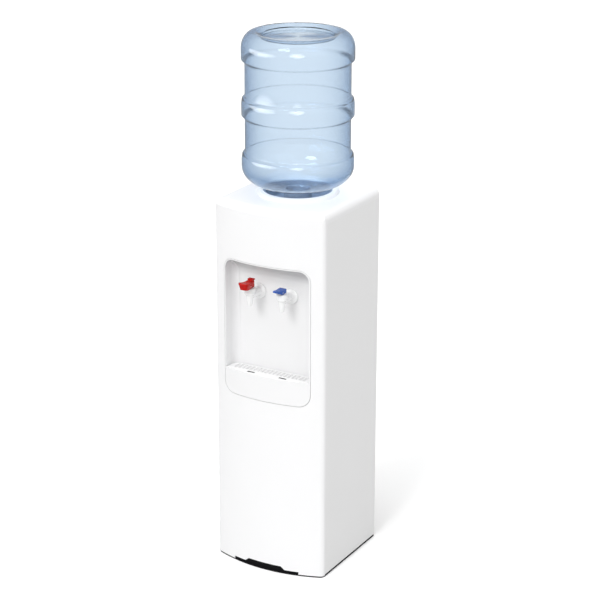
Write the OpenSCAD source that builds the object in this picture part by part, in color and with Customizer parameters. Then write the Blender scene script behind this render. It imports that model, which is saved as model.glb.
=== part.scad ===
// Top load water cooler: a floor-standing cabinet with a bowed front, an upturned
// bottle, a shallow dispensing alcove with a hot and a cold tap, and the cooling
// and heating gear inside. Millimetres, +Z up, front towards -Y, +X to the right
// as seen from the front. The origin is on the floor, in the middle of the cabinet.

/* [Cabinet] */
// Width of the cabinet
body_w = 302; // [296:1:330]
// Depth from the middle of the bowed front to the rear edge
body_d = 304; // [298:1:330]
// Height of the flat deck on the top cover
body_h = 938; // [900:1:1000]
// How far the front bows forward of its corners
bow_depth = 32; // [26:1:38]
// Radius of the upright front corners
corner_r = 13; // [10:1:15]
// Depth of the front panel's returns behind its corners
return_d = 9; // [6:1:12]
// Radius of the rounded top edges
shoulder_r = 20; // [14:1:24]
// Height of the deck above the front panel's top edge
deck_rise = 16; // [12:1:18]
// Depth of the soft front edge of the deck
deck_roll = 22; // [16:1:28]
// Wall of the moulded panels
shell_t = 3; // [2.5:0.5:3.5]
// Thickness of the sheet steel
sheet_t = 1.2; // [1:0.1:1.5]
// Thickness of the base plate that shows below the panels
base_t = 4; // [3:0.5:6]
// Height of the base's upstand
base_rim_h = 24; // [20:1:30]

/* [Kick notch] */
// Half width of the whole notch in the front panel's foot
notch_half = 92; // [80:1:100]
// Half width of its raised middle, at the top
notch_mid_half = 46; // [35:1:55]
// Width of each slanted step
notch_slant = 10; // [6:1:14]
// Height of the low steps above the base plate
notch_low_h = 6.5; // [5:0.5:9]
// Height of the raised middle above the base plate
notch_high_h = 15; // [12:1:20]

/* [Alcove] */
// Half width of the dispenser surround
insert_half = 119; // [114:1:124]
// Drop from the deck to the top of the surround
insert_drop = 141; // [130:1:160]
// Height of the surround with the drip tray's front
insert_h = 344; // [320:1:360]
// Corner radius of the surround
insert_r = 29; // [20:1:36]
// Width of the groove round the surround
groove_w = 1; // [0.6:0.1:1.5]
// Width of the surround's plain rim
rim_w = 3.5; // [2.5:0.5:6]
// Depth of the alcove behind the front's middle
alcove_d = 60; // [52:1:70]
// Radius of the cove between ceiling and back wall
cove_r = 46; // [30:1:50]
// Radius of the upright back corners
back_r = 22; // [12:1:28]
// Wall of the surround
insert_t = 2.5; // [2:0.5:3]

/* [Drip tray] */
// Height of the tray's front
tray_front_h = 63; // [50:1:75]
// Depth of the tray's basin
basin_h = 32; // [20:1:36]
// Wall of the tray
tray_t = 2.5; // [2:0.5:3]
// Thickness of the grille
grille_t = 3; // [2:0.5:4]
// Distance of the grille behind the tray's front
lip_w = 8; // [6:0.5:12]
// Length of a drain slot in the grille
slot_l = 7.6; // [5:0.2:8]
// Width of a drain slot
slot_w = 2.4; // [1.6:0.2:3]
// Pitch of the slots across the grille
slot_pitch_x = 10.6; // [10:0.2:14]
// Pitch of the rows of slots
slot_pitch_y = 5; // [4:0.5:7]
// Length of the wide slot below each spout
drip_l = 21; // [16:1:24]
// Width of the wide slot
drip_w = 5; // [4:0.5:6.5]

/* [Taps] */
// Distance of each tap from the middle
tap_x = 44.2; // [36:0.5:56]
// Drop from the surround's top to the taps' level
tap_drop = 85; // [75:1:95]
// Reach of the spouts in front of the alcove's back wall
tap_reach = 45.5; // [40:0.5:50]
// Radius of the tap's wall flange
flange_r = 19; // [17:0.5:22]
// Thickness of the wall flange
flange_t = 6; // [4:0.5:8]
// Radius of the tap's level barrel
barrel_r = 9; // [8.5:0.5:9.5]
// Radius of the threaded shank
shank_r = 9.8; // [9:0.1:10]
// Outer radius of the valve chamber
chamber_r = 13; // [12:0.5:14]
// Radius of the valve chamber's bore
chamber_bore_r = 6.8; // [6.4:0.2:8]
// Drop from the tap's level to the spout's mouth
spout_drop = 26; // [20:1:32]
// Outer radius of the spout's mouth
spout_r = 5.4; // [5.2:0.1:6]
// Radius of the spout's bore
spout_bore_r = 4.4; // [3.5:0.1:4.6]
// Radius of the valve stem
stem_r = 2.8; // [2.4:0.1:3.2]
// Radius of the lever's pivot pin
pin_r = 1.5; // [1.2:0.1:1.8]
// Distance of the pivot pin in front of the stem
pin_ahead = 8; // [7:0.5:9]
// How far a lever swings down, in degrees
lever_swing = 20; // [12:1:22]
// Half width of a lever at its pivot
lever_half = 8.2; // [7.6:0.1:9]
// Half width of the cold lever at its tip
tip_half = 4.5; // [4:0.5:7]
// Half width of the hot lever's paddle
paddle_half = 14; // [12.5:0.5:16]
// Length of the cold lever in front of the stem
cold_paddle_l = 33; // [28:1:38]
// Length of the hot lever in front of the stem
hot_paddle_l = 37.5; // [32:0.5:42]

/* [Well and bottle] */
// Distance of the bottle's axis in front of the middle between alcove and back
well_ahead = 2.75; // [2:0.25:4]
// Radius of the well
well_r = 84; // [80:1:88]
// Radius of the raised collar round the well
collar_r = 100; // [96:1:104]
// Height of the collar above the deck
collar_h = 8; // [5:1:12]
// Radius of the bottle's bands
bottle_r = 135; // [125:1:137]
// Depth of the waists between the bands
waist_d = 8.2; // [4:0.2:12]
// Radius of the bottle's neck
neck_r = 28.5; // [26:0.5:29]
// Length of the neck below the shoulder
neck_l = 50; // [44:1:54]
// Wall of the bottle
bottle_t = 2; // [1.6:0.2:3]
// Height of the bottle from the bottom of its shoulder to its base
bottle_h = 373; // [340:1:420]
// Height of the bottle's shoulder above the deck
bottle_rise = 18; // [17:0.5:20]
// Height of the bottle's shoulder curve
shoulder_h = 50; // [40:1:60]
// Top of the lowest band above the shoulder's bottom
low_band_top = 80.5; // [70:1:90]
// Middle of the middle band above the shoulder's bottom
mid_band_z = 193; // [180:1:200]
// Height of the middle band
mid_band_h = 44; // [36:1:50]
// Height of the top band with the rounding of the base
top_band_h = 68.5; // [60:1:80]
// Height of the rounding round the bottle's base
base_round_h = 40; // [34:1:46]
// Width of that rounding
base_round_r = 30; // [26:1:34]
// Radius of the recess in the bottle's base
recess_r = 86; // [80:1:90]
// Depth of that recess
recess_h = 9; // [7:0.5:12]
// Fall of the base from its crest to the edge of the recess
rim_drop = 7; // [5:0.5:9]

/* [Tanks] */
// Gap between the foam of the cold tank and the surround
foam_gap = 8.7; // [8:0.1:12]
// Thickness of the foam round the cold tank
foam_t = 8.4; // [6:0.2:12]
// Radius of the hot tank
hot_tank_r = 50; // [40:1:52]
// Height of the hot tank
hot_tank_h = 134; // [110:1:140]
// Thickness of the jacket round the hot tank
jacket_t = 11.7; // [8:0.5:12]
// Outer radius of the silicone hoses
hose_r = 7; // [6:0.2:7.6]

/* [Cooling] */
// Radius of the evaporator's tube
coil_tube_r = 3.9; // [3:0.1:4.1]
// Turns of the evaporator round the cold tank
coil_turns = 8; // [5:1:10]
// Radius of the compressor's shell
shell_r = 72; // [64:1:74]
// Height of the compressor's shell
compressor_h = 146; // [120:1:155]
// Radius of the condenser's tube
cond_tube_r = 2.4; // [2:0.1:3]
// Number of level runs of the condenser's tube
cond_runs = 15; // [9:2:17]
// Gap between the condenser's top run and the level of the controls
cond_gap = 55; // [50:1:80]
// Half width of the condenser
cond_half = 118; // [100:1:120]
// Number of upright wires on each side of the condenser
cond_wires = 21; // [11:2:25]

/* [Hidden] */
$fn = 96;

// Clearance between pieces that are seated on one another
seat = 0.3;
// Clearance of a shaft in its hole
running = 0.08;

// Plan of the cabinet
half_w = body_w / 2;
front_y = -body_d / 2;
rear_y = body_d / 2;
chord_y = front_y + bow_depth;
bow_r = (half_w * half_w + bow_depth * bow_depth) / (2 * bow_depth);
bow_y = front_y + bow_r;
corner_x = half_w - corner_r;
corner_y = bow_y - sqrt(pow(bow_r - corner_r, 2) - corner_x * corner_x);
corner_a = atan2(corner_y - bow_y, corner_x);
seam_y = chord_y + return_d;
inner_x = half_w - sheet_t;

// Heights
front_top = body_h - deck_rise;
side_top = body_h - shoulder_r - 6;
panel_top_in = body_h - shell_t;

// Surround and drip tray
insert_top = body_h - insert_drop;
insert_bottom = insert_top - insert_h;
wall_y = front_y + alcove_d;
alcove_half = insert_half - rim_w;
alcove_top = insert_top - rim_w + 1;
tray_top = insert_bottom + tray_front_h;
basin_bottom = tray_top - grille_t - basin_h;
bay_floor = basin_bottom - seat;
tray_half = insert_half - 6.5;
tray_rear = wall_y - 4;
grille_z = tray_top - grille_t - 0.5;

// Taps
tap_y = wall_y - tap_reach;
tap_z = insert_top - tap_drop;
seat_z = tap_z - 3.5;
chamber_top = tap_z + 10;
bonnet_z = chamber_top + seat;
bonnet_h = 8.7;
plug_h = 2.8;
bonnet_top = bonnet_z + bonnet_h;
pin_z = bonnet_top + 6;
pin_y = tap_y - pin_ahead;
stud_r = 1.3;
cheek_in = 5.6;
head_z = pin_z + stud_r + seat;
post_half = 4.2;
eye_r = 3.5;
head_r = 5;
shank_end = wall_y + 30;
barb_end = shank_end + 12;
cup_top = seat_z + 4;

// Well and bottle
back_y = rear_y - 25;
well_y = (wall_y + insert_t + back_y) / 2 - well_ahead;
bottle_z = body_h + bottle_rise;
mouth_z = bottle_z - neck_l - 18;
sleeve_top = bottle_z - 12.3;
ledge_z = body_h + 1;
ledge_r = well_r - 3.5;
cap_r = neck_r + 2.1;
sleeve_r = cap_r + 0.6;
cup_z = mouth_z - 4;
probe_r = 9;

// Cold side, from the shelf over the taps' hoses up to the lid below the well
shelf_z = tap_z + 10;
tank_bottom = shelf_z + 13;
tank_top = body_h - 58;
cold_tank_h = tank_top - tank_bottom;
foam_r = (back_y - wall_y - insert_t) / 2 - well_ahead - foam_gap;
foam_in_r = foam_r - foam_t;
coil_r = foam_in_r - seat - coil_tube_r;
cold_tank_r = coil_r * cos(180 / 24) - seat - coil_tube_r;
foam_bottom = shelf_z + sheet_t + 0.1;
outlet_x = 36;
outlet_y = 8;
feed_x = 20;
feed_y = 40;

// Hot side
hot_y = well_y + 20;
hot_top = shelf_z - 32;
hot_bottom = hot_top - hot_tank_h;
hot_shelf_z = hot_bottom - 17;
hot_out_x = -30;
hot_out_y = 20;

// Rear
back_z0 = 200;
back_flange = 12;
back_face = back_y + sheet_t;
cond_y = back_face + 12.8;
cond_z0 = 245;
control_z = body_h - 78;
cond_top = control_z - cond_gap;
cond_pitch = (cond_top - cond_z0) / (cond_runs - 1);
wire_r = 0.8;
knob_x = 71 - body_w / 2;
cord_x = body_w / 2 - 51;
outlet_z = back_z0 + 18;
comp_y = 50;
comp_z = base_t + 32;
foot_x = 78;
foot_y = 52;

// Evenly spaced points along an arc, from angle a0 to a1
function arc(cx, cy, rx, ry, a0, a1, n) =
    [for (i = [0:n]) let (a = a0 + (a1 - a0) * i / n) [cx + rx * cos(a), cy + ry * sin(a)]];

// A soft step from p to q, level in x at both ends
function step_curve(p, q, n) =
    [for (i = [0:n]) [p[0] + (q[0] - p[0]) * (1 - cos(180 * i / n)) / 2, p[1] + (q[1] - p[1]) * i / n]];

// A cubic curve through p0 and p3, pulled towards p1 and p2
function curve(p0, p1, p2, p3, n) =
    [for (i = [0:n]) let (t = i / n, u = 1 - t)
        u * u * u * p0 + 3 * u * u * t * p1 + 3 * u * t * t * p2 + t * t * t * p3];

// Cabinet outline seen from above, inset by d, open to the rear edge y1
function plan_outline(d, y1) = concat(
    arc(0, bow_y, bow_r - d, bow_r - d, -180 - corner_a, corner_a, 36),
    [for (p = arc(corner_x, corner_y, corner_r - d, corner_r - d, corner_a, 0, 6)) p],
    [[half_w - d, y1], [-half_w + d, y1]],
    arc(-corner_x, corner_y, corner_r - d, corner_r - d, -180, -180 - corner_a, 6)
);

// Outline with rounded upper corners, seen from the front
function hood_outline(half, z0, z1, r) = concat(
    [[-half, z0], [half, z0]],
    arc(half - r, z1 - r, r, r, 0, 90, 10),
    arc(-half + r, z1 - r, r, r, 90, 180, 10)
);

// Rounded rectangle seen from the front
function panel_outline(half, z0, z1, r) = concat(
    arc(half - r, z1 - r, r, r, 0, 90, 10),
    arc(-half + r, z1 - r, r, r, 90, 180, 10),
    arc(-half + r, z0 + r, r, r, 180, 270, 10),
    arc(half - r, z0 + r, r, r, 270, 360, 10)
);

// Extrude an outline drawn in X and Z along Y
module along_y(y0, y1) {
    translate([0, y1, 0])
        rotate([90, 0, 0])
            linear_extrude(y1 - y0)
                children();
}

// Extrude an outline drawn in Y and Z along X
module along_x(x0, x1) {
    translate([x0, 0, 0])
        rotate([90, 0, 90])
            linear_extrude(x1 - x0)
                children();
}

// A box from its low and high corners
module block(lo, hi) {
    translate(lo)
        cube(hi - lo);
}

// A cylinder along Y from y0 to y1
module rod_y(x, z, r, y0, y1) {
    translate([x, y1, z])
        rotate([90, 0, 0])
            cylinder(r = r, h = y1 - y0);
}

// A cylinder along X from x0 to x1
module rod_x(y, z, r, x0, x1) {
    translate([x0, y, z])
        rotate([0, 90, 0])
            cylinder(r = r, h = x1 - x0);
}

// The region between the bowed front and the rear, inset by d
module plan_block(d, z0, z1, y1) {
    translate([0, 0, z0])
        linear_extrude(z1 - z0)
            polygon(plan_outline(d, y1));
}

// A wall of thickness t that follows the bowed front, inset by d
module bow_wall(d, t, z0, z1, y1) {
    difference() {
        plan_block(d, z0, z1, y1);
        plan_block(d + t, z0 - 1, z1 + 1, y1 + 5);
    }
}

// Tube swept along a list of points, with flat ends
function unit(v) = v / norm(v);
function heading(p, i) = unit(p[min(i + 1, len(p) - 1)] - p[max(i - 1, 0)]);
function side_of(t) = unit(cross(t, abs(t[2]) > 0.9 ? [1, 0, 0] : [0, 0, 1]));
function frames(p, i = 0, s = undef) = i == len(p) ? []
    : let (t = heading(p, i), s0 = s == undef ? side_of(t) : s, s1 = unit(s0 - (s0 * t) * t))
        concat([[s1, cross(t, s1)]], frames(p, i + 1, s1));

module tube(points, r, sides) {
    f = frames(points);
    n = len(points);
    vertices = [for (i = [0:n - 1]) for (k = [0:sides - 1])
        points[i] + r * cos(360 * k / sides) * f[i][0] + r * sin(360 * k / sides) * f[i][1]];
    ends = [[for (k = [0:sides - 1]) sides - 1 - k], [for (k = [0:sides - 1]) (n - 1) * sides + k]];
    walls = [for (i = [0:n - 2]) for (k = [0:sides - 1]) let (a = i * sides + k, b = i * sides + (k + 1) % sides)
        each [[a, b, b + sides], [a, b + sides, a + sides]]];
    polyhedron(vertices, concat([for (e = ends) e], walls));
}

// Black base: a flat plate on the floor with an upstand inside the panels
module base() {
    color("dimgray") difference() {
        union() {
            plan_block(1, 0, base_t, rear_y - 1);
            difference() {
                plan_block(shell_t + seat, base_t, base_rim_h, rear_y - sheet_t - seat);
                plan_block(shell_t + seat + 2.5, base_t - 1, base_rim_h + 1, rear_y - sheet_t - seat - 2.5);
            }
            for (sx = [-1, 1])
                for (sy = [-1, 1])
                    translate([sx * foot_x, comp_y + sy * foot_y, base_t])
                        cylinder(r = 9, h = 4);
        }
        for (x = [-100:40:100])
            block([x - 14, rear_y - 40, -1], [x + 14, rear_y - 34, base_t + 1]);
    }
}

// Steel side panel, mirrored for the other side, with flanges at both edges
module side_panel(s) {
    flange = 14;
    mirror([s < 0 ? 1 : 0, 0, 0]) difference() {
        block([half_w - flange, seam_y, base_t], [half_w, rear_y, side_top]);
        block([half_w - flange - 1, seam_y + sheet_t, base_t - 1], [inner_x, rear_y - sheet_t, side_top + 1]);
        block([half_w - flange - 1, seam_y - 1, base_t - 1], [inner_x, seam_y + sheet_t + 0.1, base_rim_h + seat]);
    }
}

module side_left() {
    color("gainsboro") side_panel(-1);
}

module side_right() {
    color("gainsboro") side_panel(1);
}

// Foot of the front panel: a stepped notch that shows the black base
function notch_outline() = [
    [-notch_half, 0], [notch_half, 0],
    [notch_half, base_t + notch_low_h],
    [notch_mid_half + notch_slant, base_t + notch_low_h],
    [notch_mid_half, base_t + notch_high_h],
    [-notch_mid_half, base_t + notch_high_h],
    [-notch_mid_half - notch_slant, base_t + notch_low_h],
    [-notch_half, base_t + notch_low_h]
];

// Bowed front panel with the opening for the surround and the kick notch
module front_panel() {
    color("white") difference() {
        intersection() {
            bow_wall(0, shell_t, base_t, front_top, seam_y);
            along_y(front_y - 5, seam_y)
                polygon(hood_outline(half_w, base_t, front_top, shoulder_r));
        }
        along_y(front_y - 10, front_y + alcove_d)
            polygon(panel_outline(insert_half + groove_w, insert_bottom - groove_w,
                insert_top + groove_w, insert_r + groove_w));
        along_y(front_y - 10, chord_y)
            polygon(notch_outline());
    }
}

// Deck rolled down towards the bowed front, as a turned shape
module rolled_deck(d) {
    translate([0, bow_y, 0])
        rotate_extrude($fn = 180)
            polygon(concat(
                [[0, front_top - 40], [bow_r - d, front_top - 40]],
                arc(bow_r - deck_roll, front_top, deck_roll - d, deck_rise - d, 0, 90, 8),
                [[0, body_h - d]]
            ));
}

// One skin of the top cover: plan, rounded hood and rolled deck together
module cover_form(d, z0) {
    intersection() {
        plan_block(d, z0, body_h + 1, rear_y - d);
        along_y(front_y - 5, rear_y + 5)
            polygon(hood_outline(half_w - d, z0 - 1, body_h - d, shoulder_r - d));
        rolled_deck(d);
    }
}

// Moulded top cover with the raised collar and the ledge for the water guard
module top_cover() {
    skirt_z = front_top - shoulder_r;
    color("white") difference() {
        union() {
            difference() {
                cover_form(0, skirt_z);
                cover_form(shell_t, skirt_z - 2);
                block([-half_w - 1, seam_y, skirt_z - 1], [half_w + 1, rear_y + 1, side_top]);
                along_y(front_y - 5, seam_y)
                    polygon(hood_outline(half_w + 0.01, skirt_z - 3, front_top, shoulder_r));
            }
            translate([0, well_y, 0])
                rotate_extrude()
                    polygon([
                        [ledge_r, ledge_z - 8], [well_r + 4, ledge_z - 8],
                        [well_r + 4, panel_top_in], [collar_r, panel_top_in],
                        [collar_r, body_h + 1], [collar_r - 3, body_h + collar_h - 2],
                        [collar_r - 6, body_h + collar_h], [well_r + 1, body_h + collar_h],
                        [well_r, body_h + collar_h - 1], [well_r, ledge_z], [ledge_r, ledge_z]
                    ]);
        }
        translate([0, well_y, ledge_z - 9])
            cylinder(r = ledge_r, h = collar_h + 20);
        translate([0, well_y, ledge_z])
            cylinder(r = well_r, h = collar_h + 20);
    }
}

// Hollow of the alcove, grown by t on every side but the front
module alcove_form(t) {
    intersection() {
        translate([0, 0, tray_top - 4 - t])
            linear_extrude(insert_h)
                polygon(concat(
                    [[-alcove_half - t, front_y - 20], [alcove_half + t, front_y - 20]],
                    arc(alcove_half - back_r, wall_y - back_r, back_r + t, back_r + t, 0, 90, 8),
                    arc(-alcove_half + back_r, wall_y - back_r, back_r + t, back_r + t, 90, 180, 8)
                ));
        along_x(-insert_half, insert_half)
            polygon(concat(
                [[wall_y + t, tray_top - 4 - t]],
                arc(wall_y - cove_r, alcove_top - cove_r, cove_r + t, cove_r + t, 0, 90, 12),
                [[front_y - 20, alcove_top + t], [front_y - 20, tray_top - 4 - t]]
            ));
        along_y(front_y - 20, wall_y + t + 1)
            polygon(hood_outline(alcove_half + t, tray_top - 5 - t, alcove_top + t, insert_r - rim_w + t));
    }
}

// Dispenser surround: rim, alcove and the bay that the drip tray slides into
module surround() {
    bay_half = tray_half + seat;
    color("whitesmoke") difference() {
        union() {
            intersection() {
                union() {
                    bow_wall(0, shell_t + seat + insert_t, tray_top + seat, insert_top + 1, seam_y);
                    intersection() {
                        alcove_form(insert_t);
                        plan_block(0.5, tray_top - 20, insert_top + 1, wall_y + 20);
                    }
                }
                along_y(front_y - 5, wall_y + insert_t)
                    polygon(panel_outline(insert_half, insert_bottom, insert_top, insert_r));
            }
            intersection() {
                bow_wall(shell_t + seat, insert_t, tray_top + seat, insert_top + 9, seam_y - 4);
                along_y(front_y - 5, seam_y)
                    polygon(panel_outline(insert_half + 9, insert_bottom, insert_top + 9, insert_r + 9));
            }
            intersection() {
                block([-bay_half - insert_t, front_y, bay_floor - insert_t],
                    [bay_half + insert_t, wall_y + insert_t, tray_top]);
                plan_block(shell_t + seat, bay_floor - insert_t, tray_top, wall_y + 20);
            }
        }
        alcove_form(0);
        tray_block(-5, -seat, -seat, bay_floor, tray_top + seat);
        intersection() {
            bow_wall(-1, shell_t + seat + 1, insert_bottom - 1, tray_top + seat, seam_y);
            block([-insert_half - 1, front_y - 5, insert_bottom - 2], [insert_half + 1, seam_y, tray_top + 1]);
        }
        for (s = [-1, 1])
            rod_y(s * tap_x, tap_z, shank_r + seat, wall_y - 10, wall_y + 10);
    }
}

// Outline of the tray in plan, inset by d from the bow, e from the sides and f from
// the rear, with rear corners that clear the corners of the alcove
module tray_block(d, e, f, z0, z1) {
    cx = alcove_half - back_r;
    cy = wall_y - back_r;
    intersection() {
        plan_block(d, z0, z1, wall_y);
        translate([0, 0, z0 - 1])
            linear_extrude(z1 - z0 + 2)
                polygon(concat(
                    [[-tray_half + e, front_y - 10], [tray_half - e, front_y - 10]],
                    arc(cx, cy, tray_half - e - cx, tray_rear - f - cy, 0, 90, 6),
                    arc(-cx, cy, tray_half - e - cx, tray_rear - f - cy, 90, 180, 6)
                ));
    }
}

// Drip tray: a basin behind a front that completes the surround's outline
module drip_tray() {
    color("white") difference() {
        union() {
            intersection() {
                bow_wall(0, shell_t, insert_bottom, tray_top, seam_y);
                along_y(front_y - 5, seam_y)
                    polygon(panel_outline(insert_half, insert_bottom, insert_top, insert_r));
                block([-insert_half, front_y - 5, insert_bottom - 1], [insert_half, seam_y, tray_top + 1]);
            }
            tray_block(1, 0, 0, basin_bottom, tray_top);
        }
        tray_block(lip_w + 2, tray_t, tray_t, basin_bottom + tray_t, tray_top + 1);
        tray_block(lip_w - seat, 1, 1, grille_z - 0.2, tray_top + 1);
    }
}

// Grille with rows of drain slots and a wide slot below each spout
module drip_grille() {
    top = grille_z + grille_t;
    cols = floor((tray_half - 10) / slot_pitch_x);
    first = tray_rear - 7;
    last = tap_y + 10;
    drip_y = tap_y + 2;
    color("gainsboro") difference() {
        tray_block(lip_w, 1 + seat, 1 + seat, grille_z, top);
        for (y = [first:-slot_pitch_y:last])
            for (c = [-cols:cols])
                block([c * slot_pitch_x - slot_l / 2, y - slot_w / 2, grille_z - 1],
                    [c * slot_pitch_x + slot_l / 2, y + slot_w / 2, top + 1]);
        for (s = [-1, 1])
            block([s * tap_x - drip_l / 2, drip_y - drip_w / 2, grille_z - 1],
                [s * tap_x + drip_l / 2, drip_y + drip_w / 2, top + 1]);
    }
}

// Outline of the bottle's wall, inset by d, from its mouth up to its base
function bottle_side(d) = concat(
    [[neck_r - d, mouth_z], [neck_r - d, bottle_z - 18]],
    arc(neck_r + 8, bottle_z - 18, 8 + d, 8 + d, 180, 105, 5),
    arc(70, bottle_z + shoulder_h, bottle_r - 70 - d, shoulder_h - d, -80, 0, 12),
    step_curve([bottle_r - d, bottle_z + low_band_top - 4], [bottle_r - waist_d - d, bottle_z + low_band_top + 5], 5),
    step_curve([bottle_r - waist_d - d, bottle_z + mid_band_z - mid_band_h / 2 - 5],
        [bottle_r - d, bottle_z + mid_band_z - mid_band_h / 2 + 4], 5),
    step_curve([bottle_r - d, bottle_z + mid_band_z + mid_band_h / 2 - 4],
        [bottle_r - waist_d - d, bottle_z + mid_band_z + mid_band_h / 2 + 5], 5),
    step_curve([bottle_r - waist_d - d, bottle_z + bottle_h - top_band_h - 5],
        [bottle_r - d, bottle_z + bottle_h - top_band_h + 4], 5),
    arc(bottle_r - base_round_r, bottle_z + bottle_h - base_round_h, base_round_r - d, base_round_h - d, 0, 90, 10)
);

// Fall from the crest of the bottle's base to its recess, and the recess
function bottle_base(d) = let (
        crest_r = bottle_r - base_round_r,
        crest_z = bottle_z + bottle_h - d,
        edge_z = crest_z - rim_drop,
        floor_z = edge_z - recess_h
    )
    concat(
        curve([crest_r - 2, crest_z], [crest_r - 6, crest_z], [recess_r + 8 + d, edge_z + 2.5],
            [recess_r + 2 + d, edge_z], 4),
        [
            [recess_r + 0.5 + d, edge_z - 0.6], [recess_r + d, edge_z - 2],
            [recess_r + d, floor_z + 2], [recess_r - 2 + d, floor_z], [0, floor_z + 1.5]
        ]
    );

// Clear blue bottle, upside down, with three bands and a recessed base
module bottle() {
    inner = concat(bottle_side(bottle_t), bottle_base(bottle_t));
    color("lightblue", 0.5)
        translate([0, well_y, 0])
            rotate_extrude()
                polygon(concat(
                    bottle_side(0), bottle_base(0),
                    [for (i = [len(inner) - 1:-1:0]) inner[i]]
                ));
}

// Snap-on cap with a sleeve that the feed probe enters
module bottle_cap() {
    color("steelblue")
        translate([0, well_y, 0])
            rotate_extrude()
                polygon([
                    [probe_r + seat, mouth_z - 2.2], [cap_r, mouth_z - 2.2], [cap_r, mouth_z + 24],
                    [neck_r + seat, mouth_z + 24], [neck_r + seat, mouth_z - seat],
                    [probe_r + 1.8, mouth_z - seat], [probe_r + 1.8, mouth_z + 10],
                    [probe_r + seat, mouth_z + 10]
                ]);
}

// Dark no-spill guard: lip, gutter and the sleeve that carries the bottle
module water_guard() {
    gutter_z = ledge_z - 24;
    color("slategray")
        translate([0, well_y, 0])
            rotate_extrude()
                polygon([
                    [6.5, cup_z - 17], [10, cup_z - 17], [10, cup_z - 2.7], [sleeve_r + 2.8, cup_z - 2.7],
                    [sleeve_r + 2.8, gutter_z - 6.8], [ledge_r - 4, gutter_z - 3],
                    [ledge_r - seat, ledge_z - 4], [ledge_r - seat, ledge_z + seat],
                    [well_r - seat, ledge_z + seat], [well_r - seat, ledge_z + 3.3],
                    [ledge_r - 2.4, ledge_z + 3.3], [ledge_r - 2.6, ledge_z - 3],
                    [ledge_r - 6.4, gutter_z], [sleeve_r + 2.8, gutter_z - 4],
                    [sleeve_r + 2.8, sleeve_top], [sleeve_r, sleeve_top],
                    [sleeve_r, cup_z], [6.5, cup_z]
                ]);
}

// Feed probe: a tube with four windows that stands in the guard and enters the cap
module feed_probe() {
    color("white")
        translate([0, well_y, cup_z + seat])
            difference() {
                rotate_extrude()
                    polygon([[6.5, 0], [14, 0], [14, 1.2], [probe_r, 1.2], [probe_r, 36], [4, 42], [0, 42], [0, 39], [6.5, 34]]);
                for (a = [0, 90])
                    rotate([0, 0, a])
                        block([-probe_r - 1, -2.5, 22], [probe_r + 1, 2.5, 32]);
            }
}

// Stainless cold tank with two outlets in its floor
module cold_tank() {
    wall = 1.2;
    color("silver") difference() {
        union() {
            translate([0, well_y, tank_bottom])
                cylinder(r = cold_tank_r, h = cold_tank_h);
            translate([0, well_y, tank_top - 1.5])
                cylinder(r = cold_tank_r + 5, h = 1.5);
            translate([outlet_x, outlet_y, tank_bottom - 16])
                cylinder(r = 5, h = 17);
            translate([feed_x, feed_y, tank_bottom - 16])
                cylinder(r = 5, h = 17);
        }
        translate([0, well_y, tank_bottom + wall])
            cylinder(r = cold_tank_r - wall, h = cold_tank_h);
        translate([outlet_x, outlet_y, tank_bottom - 17])
            cylinder(r = 4, h = 20);
        translate([feed_x, feed_y, tank_bottom - 17])
            cylinder(r = 4, h = 20);
    }
}

// Foam lid of the cold tank, open for the guard's sleeve
module tank_lid() {
    color("white")
        translate([0, well_y, 0])
            rotate_extrude()
                polygon([
                    [sleeve_r + 4, tank_top + seat], [foam_r, tank_top + seat], [foam_r, tank_top + 14],
                    [foam_r - 4, tank_top + 18], [sleeve_r + 4, tank_top + 18]
                ]);
}

// Baffle that keeps the cold water from the warm, on a tube to the hot side
module baffle() {
    color("white") difference() {
        union() {
            translate([0, well_y, tank_bottom + 70])
                cylinder(r = cold_tank_r - 3, h = 2.5);
            translate([feed_x, feed_y, tank_bottom + 1.5])
                cylinder(r = 7.5, h = 78);
        }
        translate([feed_x, feed_y, tank_bottom])
            cylinder(r = 5.5, h = 90);
        for (a = [0:60:300])
            rotate_about_well(a)
                translate([cold_tank_r - 14, 0, tank_bottom + 60])
                    cylinder(r = 6, h = 20);
    }
}

module rotate_about_well(a) {
    translate([0, well_y, 0])
        rotate([0, 0, a])
            children();
}

// Evaporator: one tube wound round the cold tank
coil_pitch = (cold_tank_h - 34) / coil_turns;
coil_points = [for (i = [0:coil_turns * 24]) let (a = 360 * i / 24)
    [coil_r * cos(a), well_y + coil_r * sin(a), tank_bottom + 14 + coil_pitch * i / 24]];
echo("least gap between the evaporator's turns", coil_pitch - 2 * coil_tube_r);

module evaporator() {
    color("peru") tube(coil_points, coil_tube_r, 6);
}

// Foam round the cold tank, closed below
module foam_jacket() {
    color("ivory") difference() {
        translate([0, well_y, foam_bottom])
            cylinder(r = foam_r, h = tank_top - foam_bottom);
        translate([0, well_y, tank_bottom - seat])
            cylinder(r = foam_in_r, h = cold_tank_h + 10);
        translate([outlet_x, outlet_y, foam_bottom - 1])
            cylinder(r = hose_r + 1, h = 30);
        translate([feed_x, feed_y, foam_bottom - 1])
            cylinder(r = hose_r + 1, h = 30);
    }
}

// Sheet shelf between the side panels, turned down at both ends
module shelf(z, y0, y1) {
    clear_x = inner_x - sheet_t - seat;
    difference() {
        block([-inner_x, y0, z - 14], [inner_x, y1, z + sheet_t]);
        block([-inner_x + sheet_t, y0 - 1, z - 15], [inner_x - sheet_t, y1 + 1, z]);
        for (s = [-1, 1])
            block([s > 0 ? clear_x : -inner_x - 1, y1 - back_flange - seat, z - 15],
                [s > 0 ? inner_x + 1 : -clear_x, y1 + 1, z + sheet_t + 1]);
        block([-line_x - 18, y1 - 32, z - 1], [-line_x + 12, y1 + 1, z + 3]);
    }
}

module tank_shelf() {
    color("silver") difference() {
        shelf(shelf_z, shank_end + 4, back_y);
        translate([outlet_x, outlet_y, shelf_z - 1])
            cylinder(r = hose_r + 2, h = 5);
        translate([feed_x, feed_y, shelf_z - 1])
            cylinder(r = hose_r + 2, h = 5);
    }
}

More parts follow.
